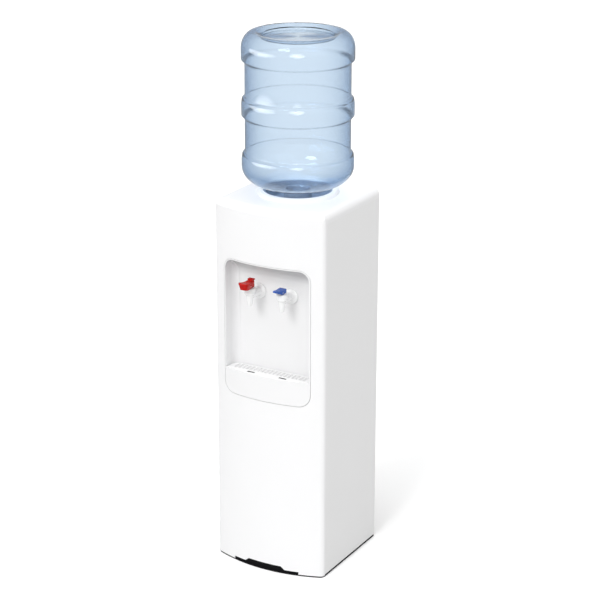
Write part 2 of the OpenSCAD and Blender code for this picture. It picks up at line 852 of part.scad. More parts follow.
module hot_shelf() {
    color("silver") difference() {
        shelf(hot_shelf_z, shank_end, back_y);
        translate([0, hot_y, hot_shelf_z - 1])
            cylinder(r = hose_r + 3, h = 5);
    }
}

// Stainless hot tank, a closed shell with outlets above and a drain below
module hot_tank() {
    wall = 1.2;
    color("silver") difference() {
        union() {
            translate([0, hot_y, hot_bottom])
                cylinder(r = hot_tank_r, h = hot_tank_h);
            translate([hot_out_x, hot_out_y, hot_top - 1])
                cylinder(r = 5, h = 9);
            translate([feed_x, feed_y, hot_top - 1])
                cylinder(r = 5, h = 9);
            translate([0, hot_y, hot_bottom - 11])
                cylinder(r = 5, h = 12);
        }
        translate([0, hot_y, hot_bottom + wall])
            cylinder(r = hot_tank_r - wall, h = hot_tank_h - 2 * wall);
        translate([hot_out_x, hot_out_y, hot_top - 5])
            cylinder(r = 4, h = 20);
        translate([feed_x, feed_y, hot_top - 5])
            cylinder(r = 4, h = 20);
        translate([0, hot_y, hot_bottom - 12])
            cylinder(r = 4, h = 20);
    }
}

module hot_jacket() {
    color("lightgray") difference() {
        translate([0, hot_y, hot_shelf_z + sheet_t + 0.1])
            cylinder(r = hot_tank_r + jacket_t, h = hot_top - hot_shelf_z - sheet_t - 0.1);
        translate([0, hot_y, hot_bottom - seat])
            cylinder(r = hot_tank_r + seat, h = hot_tank_h + 10);
        translate([0, hot_y, hot_shelf_z])
            cylinder(r = hose_r + 1, h = 30);
    }
}

// Two round thermal cut-outs on a strap round the hot tank's jacket
module cutouts() {
    r = hot_tank_r + jacket_t + seat;
    z = hot_top - 60;
    color("dimgray") difference() {
        union() {
            translate([0, hot_y, z])
                cylinder(r = r + 1, h = 12);
            for (s = [-1, 1])
                rod_y(s * 14, z + 6, 8, hot_y, hot_y + r + 9);
        }
        translate([0, hot_y, z - 10])
            cylinder(r = r, h = 32);
    }
}

// Silicone hoses
module cold_hose() {
    start = [outlet_x, outlet_y, tank_bottom - 16.4];
    end = [tap_x, barb_end + 0.4, tap_z];
    color("whitesmoke")
        tube(curve(start, start - [0, 0, 26], end + [0, 20, 0], end, 16), hose_r, 10);
}

module hot_hose() {
    start = [hot_out_x, hot_out_y, hot_top + 8.4];
    end = [-tap_x, barb_end + 0.4, tap_z];
    color("whitesmoke")
        tube(curve(start, start + [0, 0, 20], end + [0, 40, 0], end, 16), hose_r, 10);
}

module feed_hose() {
    color("whitesmoke")
        translate([feed_x, feed_y, hot_top + 8.1])
            cylinder(r = hose_r, h = tank_bottom - 16.2 - hot_top - 8);
}

module drain_hose() {
    start = [0, hot_y, hot_bottom - 11.4];
    end = [0, back_y - 14.4, outlet_z];
    color("whitesmoke")
        tube(curve(start, start - [0, 0, 140], end - [0, 60, 0], end, 24), hose_r, 10);
}

// Sheet steel back with its openings; the machine bay below stays open
module back_panel() {
    color("silver") difference() {
        union() {
            block([-inner_x, back_y - back_flange, back_z0], [inner_x, back_face, side_top]);
            block([-inner_x + 24, back_y, side_top - 1], [inner_x - 24, back_face, panel_top_in - seat]);
        }
        block([-inner_x + sheet_t, back_y - back_flange - 1, back_z0 - 1], [inner_x - sheet_t, back_y, side_top + 1]);
        rod_y(0, outlet_z, 8, back_y - 5, back_y + 5);
        rod_y(cord_x, outlet_z, 7, back_y - 5, back_y + 5);
        rod_y(knob_x, control_z, 5, back_y - 5, back_y + 5);
        for (x = switch_x)
            block([x - 10.5, back_y - 5, control_z - 15], [x + 10.5, back_y + 5, control_z + 15]);
        for (x = [-90:20:90])
            block([x - 7, back_y - 1, body_h - 45], [x + 7, back_y + 5, body_h - 41]);
    }
}

switch_x = [56, 92];

// Drain fitting through the back panel, with its bore
module drain_outlet() {
    color("white") difference() {
        union() {
            rod_y(0, outlet_z, 7.6, back_y - 8, back_face + 12);
            rod_y(0, outlet_z, 13, back_face + 0.1, back_face + 3);
            rod_y(0, outlet_z, 5, back_y - 13.9, back_y - 7);
        }
        rod_y(0, outlet_z, 4, back_y - 15, back_face + 13);
    }
}

// Screw cap of the drain
module drain_cap() {
    color("white") difference() {
        rod_y(0, outlet_z, 11, back_face + 3 + seat, back_face + 15);
        rod_y(0, outlet_z, 7.6 + seat, back_face + 3, back_face + 12 + seat);
        for (a = [0:30:330])
            translate([11.4 * cos(a), 0, outlet_z + 11.4 * sin(a)])
                rod_y(0, 0, 1.2, back_face + 3, back_face + 16);
    }
}

// Sealed compressor: two deep shells joined at a welded band, on a footed plate
module compressor() {
    band_z = 64;
    color("dimgray") union() {
        translate([0, comp_y, comp_z])
            rotate_extrude()
                polygon(concat(
                    [[0, -4]],
                    arc(shell_r - 26, 22, 26, 26, -90, 0, 5),
                    [[shell_r, band_z], [shell_r + 4, band_z], [shell_r + 4, band_z + 6], [shell_r, band_z + 6]],
                    arc(shell_r - 40, compressor_h - 32, 40, 32, 0, 90, 7),
                    [[0, compressor_h]]
                ));
        difference() {
            block([-foot_x - 12, comp_y - foot_y - 12, comp_z - 5], [foot_x + 12, comp_y + foot_y + 12, comp_z - 1]);
            for (sy = [-1, 1])
                block([-foot_x + 14, comp_y + sy * (foot_y + 3) - 15, comp_z - 6],
                    [foot_x - 14, comp_y + sy * (foot_y + 3) + 15, comp_z]);
            for (sx = [-1, 1])
                for (sy = [-1, 1])
                    translate([sx * foot_x, comp_y + sy * foot_y, comp_z - 6])
                        cylinder(r = 6.5, h = 8);
        }
    }
}

// Rubber grommets that carry the compressor on the base
module grommets() {
    color("black")
        for (sx = [-1, 1])
            for (sy = [-1, 1])
                translate([sx * foot_x, comp_y + sy * foot_y, 0])
                    rotate_extrude()
                        polygon([
                            [0, base_t + 4], [10, base_t + 4], [8.5, comp_z - 12], [11, comp_z - 5 - seat],
                            [6.2, comp_z - 5 - seat], [6.2, comp_z - 0.7], [10, comp_z - 0.7], [9, comp_z + 3], [0, comp_z + 3]
                        ]);
}

// Cover over the compressor's terminals
module relay_box() {
    box_half = 26;
    box_z = comp_z + 72;
    box_h = 40;
    color("black") difference() {
        block([-box_half, comp_y - shell_r - 24, box_z], [box_half, comp_y - shell_r + 14, box_z + box_h]);
        translate([0, comp_y, box_z - 10])
            cylinder(r = shell_r + seat, h = box_h + 20);
    }
}

// Condenser: one tube in level runs joined by half-round bends
function cond_side(i) = i % 2 == 0 ? 1 : -1;
cond_points = [for (i = [0:cond_runs - 1])
    let (s = cond_side(i), z = cond_z0 + i * cond_pitch, r = cond_pitch / 2)
        each concat(
            [[-s * (cond_half - r), cond_y, z]],
            i == cond_runs - 1 ? [[s * (cond_half - r), cond_y, z]]
                : [for (k = [0:5]) let (a = -90 + 180 * k / 6)
                    [s * (cond_half - r + r * cos(a)), cond_y, z + r + r * sin(a)]]
        )];

module condenser() {
    color("black") tube(cond_points, cond_tube_r, 6);
}

// Upright wires welded on both sides of the condenser's runs
module condenser_wires() {
    span = cond_half - cond_pitch / 2 - 7;
    color("black")
        for (side = [-1, 1])
            for (i = [0:cond_wires - 1])
                translate([-span + 2 * span * i / (cond_wires - 1),
                    cond_y + side * (cond_tube_r + wire_r + 0.05), cond_z0 - 12])
                    cylinder(r = wire_r, h = cond_top - cond_z0 + 24, $fn = 6);
}

// Four clips that stand the condenser off the back panel
module condenser_clips() {
    color("black")
        for (sx = [-1, 1])
            for (z = [cond_z0 + cond_pitch, cond_top - cond_pitch])
                difference() {
                    block([sx * (cond_half - cond_pitch / 2 - 1) - 4, back_face, z - 9],
                        [sx * (cond_half - cond_pitch / 2 - 1) + 4, cond_y + 4, z + 9]);
                    block([sx * (cond_half - cond_pitch / 2 - 1) - 5, back_face + 5, z - 5.5],
                        [sx * (cond_half - cond_pitch / 2 - 1) + 5, cond_y + 1, z + 5.5]);
                    block([sx * (cond_half - cond_pitch / 2 - 1) - 5, cond_y - 3, z - 3],
                        [sx * (cond_half - cond_pitch / 2 - 1) + 5, cond_y + 5, z + 3]);
                }
}

// Copper filter drier in the machine bay
drier = [-125, comp_y + 10, 120];

module filter_drier() {
    color("peru")
        translate(drier)
            rotate_extrude()
                polygon([[0, -46], [3, -46], [3, -40], [9, -32], [9, 32], [3, 40], [3, 46], [0, 46]]);
}

// Discharge line, liquid line, suction line and capillary
line_x = inner_x - 24;
line_y = back_y - 17;
foam_a = [135, 160];

// Point at distance r from the well's axis, in direction a
function round_well(r, a, z) = [r * cos(a), well_y + r * sin(a), z];

// Point on the compressor's side at distance r from its axis, to the rear
function round_shell(r, s, z) = [s * r * sin(45), comp_y + r * cos(45), comp_z + z];

module refrigerant_lines() {
    bend_x = cond_half - cond_pitch / 2;
    c_top = [bend_x + 0.2, cond_y, cond_top];
    c_low = [-bend_x - 0.2, cond_y, cond_z0];
    rise = [cond_half + 12, cond_y, cond_z0 - 30];
    drop = [-cond_half - 20, cond_y, back_z0 + 4];
    suction = [-line_x + 4, line_y, back_z0 + 60];
    feed = [-line_x - 14, line_y - 6, comp_z + 50];
    color("peru") {
        tube(concat(
            curve(round_shell(shell_r + seat, 1, 95), round_shell(shell_r + 26, 1, 95),
                [rise[0], rise[1], comp_z + 95], rise, 10),
            curve([rise[0], cond_y, cond_top - 24], [rise[0], cond_y, cond_top - 6],
                [rise[0] - 4, cond_y, cond_top], c_top, 6)
        ), 2.6, 8);
        tube(concat(
            curve(c_low, c_low - [24, 0, 0], drop + [0, 0, 26], drop, 8),
            [for (p = curve(drop - [0, 0, 6], drop - [0, 0, 30], drier + [0, 0, 82], drier + [0, 0, 46.1], 8)) p]
        ), 2.6, 8);
        tube(concat(
            curve(round_shell(shell_r + seat, -1, 85), round_shell(shell_r + 30, -1, 85),
                [suction[0], suction[1], comp_z + 110], suction, 8),
            curve([suction[0], suction[1], tank_bottom - 8], [suction[0], suction[1], tank_bottom + 20],
                round_well(foam_r + 24, foam_a[0], tank_bottom + 20),
                round_well(foam_r + seat, foam_a[0], tank_bottom + 20), 6)
        ), 3.5, 8);
        tube(concat(
            curve(drier - [0, 0, 46.1], drier - [0, 0, 74], feed - [0, 0, 50], feed, 8),
            curve([feed[0], feed[1], tank_bottom], [feed[0], feed[1], tank_bottom + 30],
                round_well(foam_r + 28, foam_a[1], tank_bottom + 30),
                round_well(foam_r + seat, foam_a[1], tank_bottom + 30), 6)
        ), 1.3, 6);
    }
}

// Thermostat behind the back panel, with its shaft through the panel
module thermostat() {
    color("gray") union() {
        block([knob_x - 16, back_y - 20, control_z - 18], [knob_x + 16, back_y - 0.1, control_z + 18]);
        rod_y(knob_x, control_z, 3, back_y - 2, back_face + 14);
    }
}

module thermostat_knob() {
    color("black") difference() {
        union() {
            rod_y(knob_x, control_z, 15, back_face + seat, back_face + 5);
            rod_y(knob_x, control_z, 11, back_face + 4, back_face + 16);
            block([knob_x - 2, back_face + 4, control_z], [knob_x + 2, back_face + 18, control_z + 14]);
        }
        rod_y(knob_x, control_z, 3 + running, back_face, back_face + 14 + seat);
    }
}

// Two switch frames in the back panel, one for heating and one for cooling
module switch_frames() {
    color("black")
        for (x = switch_x)
            difference() {
                union() {
                    block([x - 12.5, back_face + 0.1, control_z - 17], [x + 12.5, back_face + 2.6, control_z + 17]);
                    block([x - 10.2, back_y - 18, control_z - 14.7], [x + 10.2, back_face + 0.2, control_z + 14.7]);
                }
                block([x - 8.6, back_face - 10, control_z - 13], [x + 8.6, back_face + 5, control_z + 13]);
                rod_x(back_face - 3.2, control_z, 1.5 + running, x - 9.6, x + 9.6);
            }
}

// Rocker of a switch, tilted to its off side about the pivot across its middle
rocker_tilt = 10;
pivot_y = back_face - 3.2;

module rocker(x) {
    translate([x, pivot_y, control_z])
        rotate([-rocker_tilt, 0, 0])
            difference() {
                union() {
                    intersection() {
                        rod_x(-18.8, 0, 28, -8.2, 8.2);
                        block([-9, 0.2, -11.6], [9, 14, 11.6]);
                    }
                    rod_x(0, 0, 3, -8.2, 8.2);
                    rod_x(0, 0, 1.5, -9.4, 9.4);
                }
                block([-9, 8.4, -1], [9, 12, 1]);
            }
}

module rocker_hot() {
    color("firebrick") rocker(switch_x[0]);
}

module rocker_cold() {
    color("seagreen") rocker(switch_x[1]);
}

// Gland in the back panel where a mains lead would enter
module cord_gland() {
    color("black") difference() {
        union() {
            rod_y(cord_x, outlet_z, 6.8, back_y - 8, back_face + 1);
            rod_y(cord_x, outlet_z, 10, back_face + 0.1, back_face + 8);
            rod_y(cord_x, outlet_z, 9, back_y - 10, back_y - 0.1);
        }
        rod_y(cord_x, outlet_z, 3.6, back_y - 11, back_face + 9);
    }
}

// Body of a tap: wall flange, level barrel, valve chamber and tapered spout
module tap_body(x) {
    back = wall_y - 0.1;
    difference() {
        union() {
            translate([x, back, tap_z])
                rotate([90, 0, 0])
                    rotate_extrude()
                        polygon([
                            [0, 0], [flange_r, 0], [flange_r, flange_t - 2.5],
                            [flange_r - 3, flange_t], [barrel_r + 3, flange_t + 0.8],
                            [barrel_r, flange_t + 4], [barrel_r, tap_reach - 0.1], [0, tap_reach - 0.1]
                        ]);
            rod_y(x, tap_z, shank_r, back - 1, shank_end);
            rod_y(x, tap_z, 5, shank_end - 1, barb_end);
            translate([x, tap_y, 0])
                rotate_extrude()
                    polygon([
                        [0, tap_z - spout_drop], [spout_r, tap_z - spout_drop],
                        [spout_r + 2.2, tap_z - spout_drop / 2], [spout_r + 3, tap_z - 4],
                        [spout_r + 3.8, tap_z + 1], [chamber_r, tap_z + 4.5], [chamber_r, chamber_top], [0, chamber_top]
                    ]);
        }
        translate([x, tap_y, tap_z - spout_drop - 1])
            cylinder(r = spout_bore_r, h = spout_drop + 5);
        translate([x, tap_y, seat_z])
            cylinder(r = chamber_bore_r, h = 20);
        rod_y(x, tap_z, 3.4, tap_y, barb_end + 1);
    }
}

// Hexagonal nut that clamps the tap to the alcove's wall
module tap_nut(x) {
    y0 = wall_y + insert_t + 0.1;
    translate([x, y0 + 8, tap_z])
        rotate([90, 0, 0])
            difference() {
                cylinder(r = 15, h = 8, $fn = 6);
                translate([0, 0, -1])
                    cylinder(r = shank_r + 0.1, h = 10);
            }
}

// Fluted bonnet with the post that holds the lever's pin, in front of the stem
module bonnet(x) {
    translate([x, tap_y, 0]) difference() {
        union() {
            intersection() {
                union() {
                    block([-post_half, -pin_ahead - eye_r, bonnet_top - 1.5], [post_half, -pin_ahead + eye_r, pin_z]);
                    rod_x(-pin_ahead, pin_z, eye_r, -post_half, post_half);
                }
                block([-post_half - 1, -pin_ahead - eye_r - 1, bonnet_top - 2],
                    [post_half + 1, -head_r - 0.4, pin_z + eye_r + 1]);
            }
            translate([0, 0, bonnet_z])
                cylinder(r = chamber_r + 1, h = bonnet_h);
            translate([0, 0, bonnet_z - plug_h])
                cylinder(r = chamber_bore_r - seat, h = plug_h + 0.2);
        }
        translate([0, 0, bonnet_z - 4])
            cylinder(r = stem_r + 0.1, h = 20);
        rod_x(-pin_ahead, pin_z, pin_r + 0.05, -20, 20);
        for (a = [0:20:340])
            translate([(chamber_r + 1.6) * cos(a), (chamber_r + 1.6) * sin(a), bonnet_z - 1])
                cylinder(r = 1.2, h = bonnet_h - 1);
    }
}

// Valve stem with the round head that the lever lifts
module stem(x) {
    translate([x, tap_y, 0])
        rotate_extrude()
            polygon([
                [0, cup_top + seat], [stem_r, cup_top + seat], [stem_r, bonnet_top + 1],
                [2.3, bonnet_top + 2], [2.3, head_z], [head_r, head_z], [head_r, head_z + 1.4],
                [head_r - 1, head_z + 2], [0, head_z + 2]
            ]);
}

// Silicone cup that closes the spout
module seal(x) {
    r = chamber_bore_r - 1;
    translate([x, tap_y, 0])
        rotate_extrude()
            polygon([[0, seat_z + seat], [r - 0.6, seat_z + seat], [r, cup_top - 0.8], [r, cup_top], [0, cup_top]]);
}

// Spring that closes the valve, one wire in four turns
spring_turns = 4;
spring_wire_r = 0.35;
spring_low = cup_top + spring_wire_r + seat;
spring_high = bonnet_z - plug_h - spring_wire_r - seat;
spring_pitch = (spring_high - spring_low) / spring_turns;
echo("least gap between the turns of a tap spring", spring_pitch - 2 * spring_wire_r);

module spring(x) {
    tube([for (i = [0:spring_turns * 12]) let (a = 360 * i / 12)
        [x + 5 * cos(a), tap_y + 5 * sin(a), spring_low + spring_pitch * i / 12]], spring_wire_r, 6);
}

module lever_pin(x) {
    rod_x(pin_y, pin_z, pin_r, x - lever_half + 0.2, x + lever_half - 0.2);
}

// Outline of a lever from above: half width w at its front, rounded off by r
function lever_plan(l, w, r) = let (
        side = concat([[lever_half, 7.5], [lever_half, -8]],
            [for (i = [1:6]) [lever_half + (w - lever_half) * (1 - cos(180 * i / 6)) / 2,
                -8 - (l - r - 8) * i / 6]],
            [for (p = arc(w - r, -l + r, r, r, 0, -90, 6)) if (p[1] < -l + r - 0.01) p])
    )
    concat(side, [for (i = [len(side) - 1:-1:0]) [-side[i][0], side[i][1]]]);

// Lever, trimmed to its side view, with a slot round the stem and the post, a bore
// for the pin and two studs under the stem's head
module lever_form(x, side_profile) {
    translate([x, tap_y, pin_z]) union() {
        difference() {
            intersection() {
                children();
                along_x(-paddle_half - 1, paddle_half + 1)
                    polygon(side_profile);
            }
            block([-cheek_in, -14, -10], [cheek_in, 9, 5]);
            rod_x(-pin_ahead, 0, pin_r + running, -20, 20);
        }
        for (s = [-1, 1])
            rod_x(0, 0, stud_r, s > 0 ? 2.9 : -cheek_in - 0.5, s > 0 ? cheek_in + 0.5 : -2.9);
    }
}

// Side view of the cold lever: a slim wedge with a thin tip
function cold_profile(l) = concat(
    [[7.5, -3.6], [7.5, 5.6], [6, 7]],
    arc(-l + 1.6, 5.6, 1.6, 1.4, 90, 180, 4),
    [[-l + 0.4, 4.2], [-12, -3.6]]
);

// Side view of the hot lever: a deeper paddle with a skirt at its front
function hot_profile(l) = concat(
    [[7.5, -3.6], [7.5, 10], [6, 11.6]],
    arc(-l + 3, 8.6, 3, 3, 90, 180, 4),
    [[-l, 7.2], [-l + 2, -5], [-21, -5], [-17, -3.6]]
);

module lever_cold() {
    color("royalblue") lever_form(tap_x, cold_profile(cold_paddle_l))
        translate([0, 0, -10])
            linear_extrude(40)
                polygon(lever_plan(cold_paddle_l, tip_half, 3));
}

// Hot lever: a column at the pivot, a broad brim and a drafted skirt below it
module lever_hot() {
    brim_z = 7.2;
    skirt_half = paddle_half - 4.5;
    color("crimson") lever_form(-tap_x, hot_profile(hot_paddle_l))
        union() {
            block([-lever_half, -20, -4], [lever_half, 8, 12]);
            translate([0, 0, brim_z])
                linear_extrude(5)
                    polygon(lever_plan(hot_paddle_l, paddle_half, paddle_half - 2));
            translate([0, -14.5, -5])
                linear_extrude(brim_z + 5.2, scale = [1.35, 1.12], slices = 1, $fn = 8)
                    polygon(concat(
                        [[skirt_half, 0]],
                        arc(skirt_half - 7, 25.5 - hot_paddle_l, 7, 7, 0, -90, 5),
                        arc(7 - skirt_half, 25.5 - hot_paddle_l, 7, 7, -90, -180, 5),
                        [[-skirt_half, 0]]
                    ));
        }
}

// Child-safety catch that rides on the hot lever
module hot_catch() {
    color("crimson")
        translate([-tap_x, tap_y, pin_z]) union() {
            block([-6, -4, 11.6 + seat], [6, 10.4, 13.2]);
            block([-6, 7.8, -2], [6, 10.4, 13.2]);
            difference() {
                block([-7.5, 2, 13], [7.5, 11.6, 16.2]);
                for (y = [4.4, 6.8, 9.2])
                    block([-8, y - 0.4, 15.4], [8, y + 0.4, 17]);
            }
        }
}

module tap_body_hot() {
    color("white") tap_body(-tap_x);
}

module tap_nut_hot() {
    color("white") tap_nut(-tap_x);
}

module bonnet_hot() {
    color("white") bonnet(-tap_x);
}

module stem_hot() {
    color("whitesmoke") stem(-tap_x);
}

module seal_hot() {
    color("lightgray") seal(-tap_x);
}

module spring_hot() {
    color("silver") spring(-tap_x);
}

module lever_pin_hot() {
    color("silver") lever_pin(-tap_x);
}

module tap_body_cold() {
    color("white") tap_body(tap_x);
}

module tap_nut_cold() {
    color("white") tap_nut(tap_x);
}

module bonnet_cold() {
    color("white") bonnet(tap_x);
}

module stem_cold() {
    color("whitesmoke") stem(tap_x);
}

module seal_cold() {
    color("lightgray") seal(tap_x);
}

module spring_cold() {
    color("silver") spring(tap_x);
}

module lever_pin_cold() {
    color("silver") lever_pin(tap_x);
}

base();
side_left();
side_right();
front_panel();
top_cover();
back_panel();
surround();
drip_tray();
drip_grille();
bottle();
bottle_cap();
water_guard();
feed_probe();
cold_tank();
tank_lid();
baffle();
evaporator();
foam_jacket();
tank_shelf();
hot_tank();
hot_jacket();
cutouts();
hot_shelf();
cold_hose();
hot_hose();
feed_hose();
drain_hose();
drain_outlet();
drain_cap();
compressor();
grommets();
relay_box();
condenser();
condenser_wires();
condenser_clips();
filter_drier();
refrigerant_lines();
thermostat();
thermostat_knob();
switch_frames();
rocker_hot();
rocker_cold();
cord_gland();
tap_body_hot();
tap_nut_hot();
bonnet_hot();
stem_hot();
seal_hot();
spring_hot();
lever_pin_hot();
lever_hot();
hot_catch();
tap_body_cold();
tap_nut_cold();
bonnet_cold();
stem_cold();
seal_cold();
spring_cold();
lever_pin_cold();
lever_cold();
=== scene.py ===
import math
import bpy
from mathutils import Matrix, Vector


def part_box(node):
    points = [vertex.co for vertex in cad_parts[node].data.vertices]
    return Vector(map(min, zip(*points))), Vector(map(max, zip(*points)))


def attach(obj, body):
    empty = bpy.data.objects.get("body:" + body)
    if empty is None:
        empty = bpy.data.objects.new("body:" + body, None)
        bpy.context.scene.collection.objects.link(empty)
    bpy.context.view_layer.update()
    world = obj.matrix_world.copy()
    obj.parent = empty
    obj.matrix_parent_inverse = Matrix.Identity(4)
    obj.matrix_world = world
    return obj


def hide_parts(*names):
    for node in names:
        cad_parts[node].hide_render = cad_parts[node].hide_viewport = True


bl_info = {
    "name": "Top Load Water Cooler",
    "version": (1, 0, 0),
    "blender": (4, 5, 0),
    "location": "View3D > Sidebar > Water Cooler",
    "description": "Dresses a floor-standing water cooler: shell, alcove, taps, bottle, works and studio",
    "category": "Object",
}

import bpy
from bpy.props import FloatProperty, FloatVectorProperty, IntProperty, PointerProperty
from mathutils import Matrix, Vector

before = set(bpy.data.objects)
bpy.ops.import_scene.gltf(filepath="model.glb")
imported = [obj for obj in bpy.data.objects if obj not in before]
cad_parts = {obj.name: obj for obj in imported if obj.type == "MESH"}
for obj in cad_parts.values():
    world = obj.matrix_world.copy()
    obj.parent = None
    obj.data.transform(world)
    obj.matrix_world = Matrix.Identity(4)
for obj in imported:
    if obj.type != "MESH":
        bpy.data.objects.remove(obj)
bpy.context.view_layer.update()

MM = 0.001
UP, ALONG_Y = (0, 0, 1), (0, 1, 0)

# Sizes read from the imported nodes, in millimetres


def node_box(node):
    """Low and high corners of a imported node, in millimetres."""
    low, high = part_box(node)
    return [v / MM for v in low], [v / MM for v in high]


def node_middle(node, axis):
    """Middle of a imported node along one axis, in millimetres."""
    low, high = node_box(node)
    return (low[axis] + high[axis]) / 2


DECK_RISE = 3.3  # from the back panel's top edge to the deck
SHOULDER_RISE = 18  # from the deck to the start of the bottle's shoulder
NUT_GAP = 2.7  # from the tap's flange to its nut, through the alcove's wall
BARREL_RISE = 26  # from the spout's mouth to the barrel's axis
SIDE_LAP = 9  # the side panel's front edge lies this far behind the bow's ends

DECK_Z = node_box("back_panel")[1][2] + DECK_RISE
BOTTLE_LOW, BOTTLE_HIGH = node_box("bottle")
WELL_Y = node_middle("bottle", 1)
BOTTLE_R = (BOTTLE_HIGH[0] - BOTTLE_LOW[0]) / 2
BOTTLE_WALL = 2
WAIST_STEP = 8.2  # the waists' radius is this much less than the bands'
NECK_R = 28.5
SHOULDER_Z = DECK_Z + SHOULDER_RISE
TAP_X, TAP_Y = node_middle("stem_cold", 0), node_middle("stem_cold", 1)
FLANGE_BACK = node_box("tap_nut_cold")[0][1] - NUT_GAP
SPOUT_Z = node_box("tap_body_cold")[0][2]
TAP_Z = SPOUT_Z + BARREL_RISE
GRILLE_TOP = node_box("drip_grille")[1][2]
REAR_FACE = node_box("back_panel")[1][1]
FRONT_Y = node_box("front_panel")[0][1]
HALF_W = node_box("side_right")[1][0]
BOW = node_box("side_right")[0][1] - SIDE_LAP - FRONT_Y
BOW_R = (HALF_W ** 2 + BOW ** 2) / (2 * BOW)
KNOB_X, CONTROL_Z = node_middle("thermostat_knob", 0), node_middle("thermostat_knob", 2)
KNOB_FACE = node_box("thermostat_knob")[1][1]


# User settings


class CoolerColours(bpy.types.PropertyGroup):
    """Colours of the cooler's finishes."""

    white: FloatVectorProperty(
        name="White plastic", description="Moulded front and top cover",
        subtype="COLOR", size=3, min=0, max=1, default=(0.90, 0.90, 0.905))
    alcove: FloatVectorProperty(
        name="Alcove plastic", description="Moulded liner of the alcove, the tray and its grille",
        subtype="COLOR", size=3, min=0, max=1, default=(0.87, 0.87, 0.875))
    enamel: FloatVectorProperty(
        name="Enamel", description="Painted steel side panels",
        subtype="COLOR", size=3, min=0, max=1, default=(0.88, 0.88, 0.88))
    bottle: FloatVectorProperty(
        name="Bottle", description="Tint of the clear bottle seen square on",
        subtype="COLOR", size=3, min=0, max=1, default=(0.78, 0.86, 0.935))
    # The bottle's edge colour is partly the deeper tint of the wall seen on a slant and partly painted
    # shade
    bottle_edge: FloatVectorProperty(
        name="Bottle edge", description="Tint of the bottle's wall seen at a glancing angle",
        subtype="COLOR", size=3, min=0, max=1, default=(0.13, 0.26, 0.45))
    red: FloatVectorProperty(
        name="Hot red", description="Lever and catch of the hot tap",
        subtype="COLOR", size=3, min=0, max=1, default=(0.50, 0.008, 0.006))
    blue: FloatVectorProperty(
        name="Cold blue", description="Lever of the cold tap",
        subtype="COLOR", size=3, min=0, max=1, default=(0.035, 0.105, 0.42))
    slate: FloatVectorProperty(
        name="Guard slate", description="Water guard in the well",
        subtype="COLOR", size=3, min=0, max=1, default=(0.19, 0.25, 0.34))


class CoolerSizes(bpy.types.PropertyGroup):
    """Sizes of the finishing details."""

    panel_round: FloatProperty(
        name="Panel edge", description="Rounding of the moulded panels' edges, in millimetres",
        default=1.1, min=0.2, max=1.4)
    lever_round: FloatProperty(
        name="Lever edge", description="Rounding of the levers' edges, in millimetres",
        default=0.9, min=0.2, max=1.2)
    bottle_steps: IntProperty(
        name="Bottle steps", description="Steps round the bottle", default=160, min=48, max=256)
    tap_steps: IntProperty(
        name="Tap steps", description="Steps round the turned parts of a tap",
        default=64, min=24, max=96)


class StudioSettings(bpy.types.PropertyGroup):
    """Light and camera of the studio."""

    sky: FloatProperty(
        name="Sky", description="Strength of the even light", default=0.50, min=0, max=2)
    key: FloatProperty(
        name="Key", description="Strength of the soft key light", default=1.30, min=0, max=6)
    fill: FloatProperty(
        name="Fill", description="Strength of the side light", default=0.48, min=0, max=6)
    top: FloatProperty(
        name="Top", description="Strength of the light from above", default=1.25, min=0, max=6)
    softbox: FloatProperty(
        name="Softboxes", description="Glow of the panels that the bottle mirrors",
        default=7.5, min=0, max=40)
    focal: FloatProperty(
        name="Focal length", description="Camera lens in millimetres", default=116.85, min=20, max=300)


def user_colour(word):
    """One of the user's colours."""
    return tuple(getattr(bpy.context.scene.cooler_colours, word))


# Modelling helpers

WELD = 2e-6  # vertices closer than this many metres are one
SHARP_EDGE = 32  # edges that turn more than this many degrees are rounded
TUBE_RIM = 75  # a tube's rim turns more than this, and its facets less


def only(obj):
    """Leave one object selected and active."""
    bpy.ops.object.select_all(action="DESELECT")
    obj.select_set(True)
    bpy.context.view_layer.objects.active = obj


def edit(obj, chosen="DESELECT"):
    """Enter edit mode on one object, with nothing or everything of it selected."""
    only(obj)
    bpy.ops.object.mode_set(mode="EDIT")
    bpy.ops.mesh.select_mode(type="VERT")
    bpy.ops.mesh.select_all(action=chosen)


def done(obj):
    """Leave edit mode."""
    bpy.ops.object.mode_set(mode="OBJECT")
    return obj


def newest(name):
    """The object that was just made, given its name."""
    obj = bpy.context.object
    obj.name = obj.data.name = name
    return obj


def place(radius, height, axis, at):
    """A profile point put beside its axis, in millimetres."""
    x, y, z = at
    if axis == UP:
        return Vector((x + radius, y, z + height))
    return Vector((x + radius, y + height, z))


def turned(name, profile, at, axis, steps):
    """Spin a profile of (radius, height) points, closed on itself, about an axis."""
    bpy.ops.mesh.primitive_plane_add(size=MM)
    obj = newest(name)
    edit(obj, "SELECT")
    bpy.ops.mesh.merge(type="CENTER")
    spots = [place(r, h, axis, at) * MM for r, h in profile + profile[:1]]
    bpy.ops.transform.translate(value=spots[0])
    for a, b in zip(spots, spots[1:]):
        bpy.ops.mesh.extrude_region_move(TRANSFORM_OT_translate={"value": b - a})
    bpy.ops.mesh.select_all(action="SELECT")
    bpy.ops.mesh.spin(steps=steps, angle=2 * math.pi, center=Vector(at) * MM, axis=axis)
    bpy.ops.mesh.select_all(action="SELECT")
    bpy.ops.mesh.remove_doubles(threshold=WELD)
    bpy.ops.mesh.normals_make_consistent(inside=False)
    return done(obj)


def pick(obj, kind, test):
    """Enter edit mode with the vertices or faces selected whose middle, in millimetres, fits a test."""
    edit(obj)
    bpy.ops.mesh.select_mode(type=kind)
    bpy.ops.object.mode_set(mode="OBJECT")
    if kind == "VERT":
        for vertex in obj.data.vertices:
            vertex.select = test(vertex.co / MM)
    else:
        for face in obj.data.polygons:
            face.select = test(face.center / MM)
    bpy.ops.object.mode_set(mode="EDIT")


def shift(obj, test, x, y, z):
    """Move the vertices that fit a test, in millimetres."""
    pick(obj, "VERT", test)
    bpy.ops.transform.translate(value=(x * MM, y * MM, z * MM))
    done(obj)


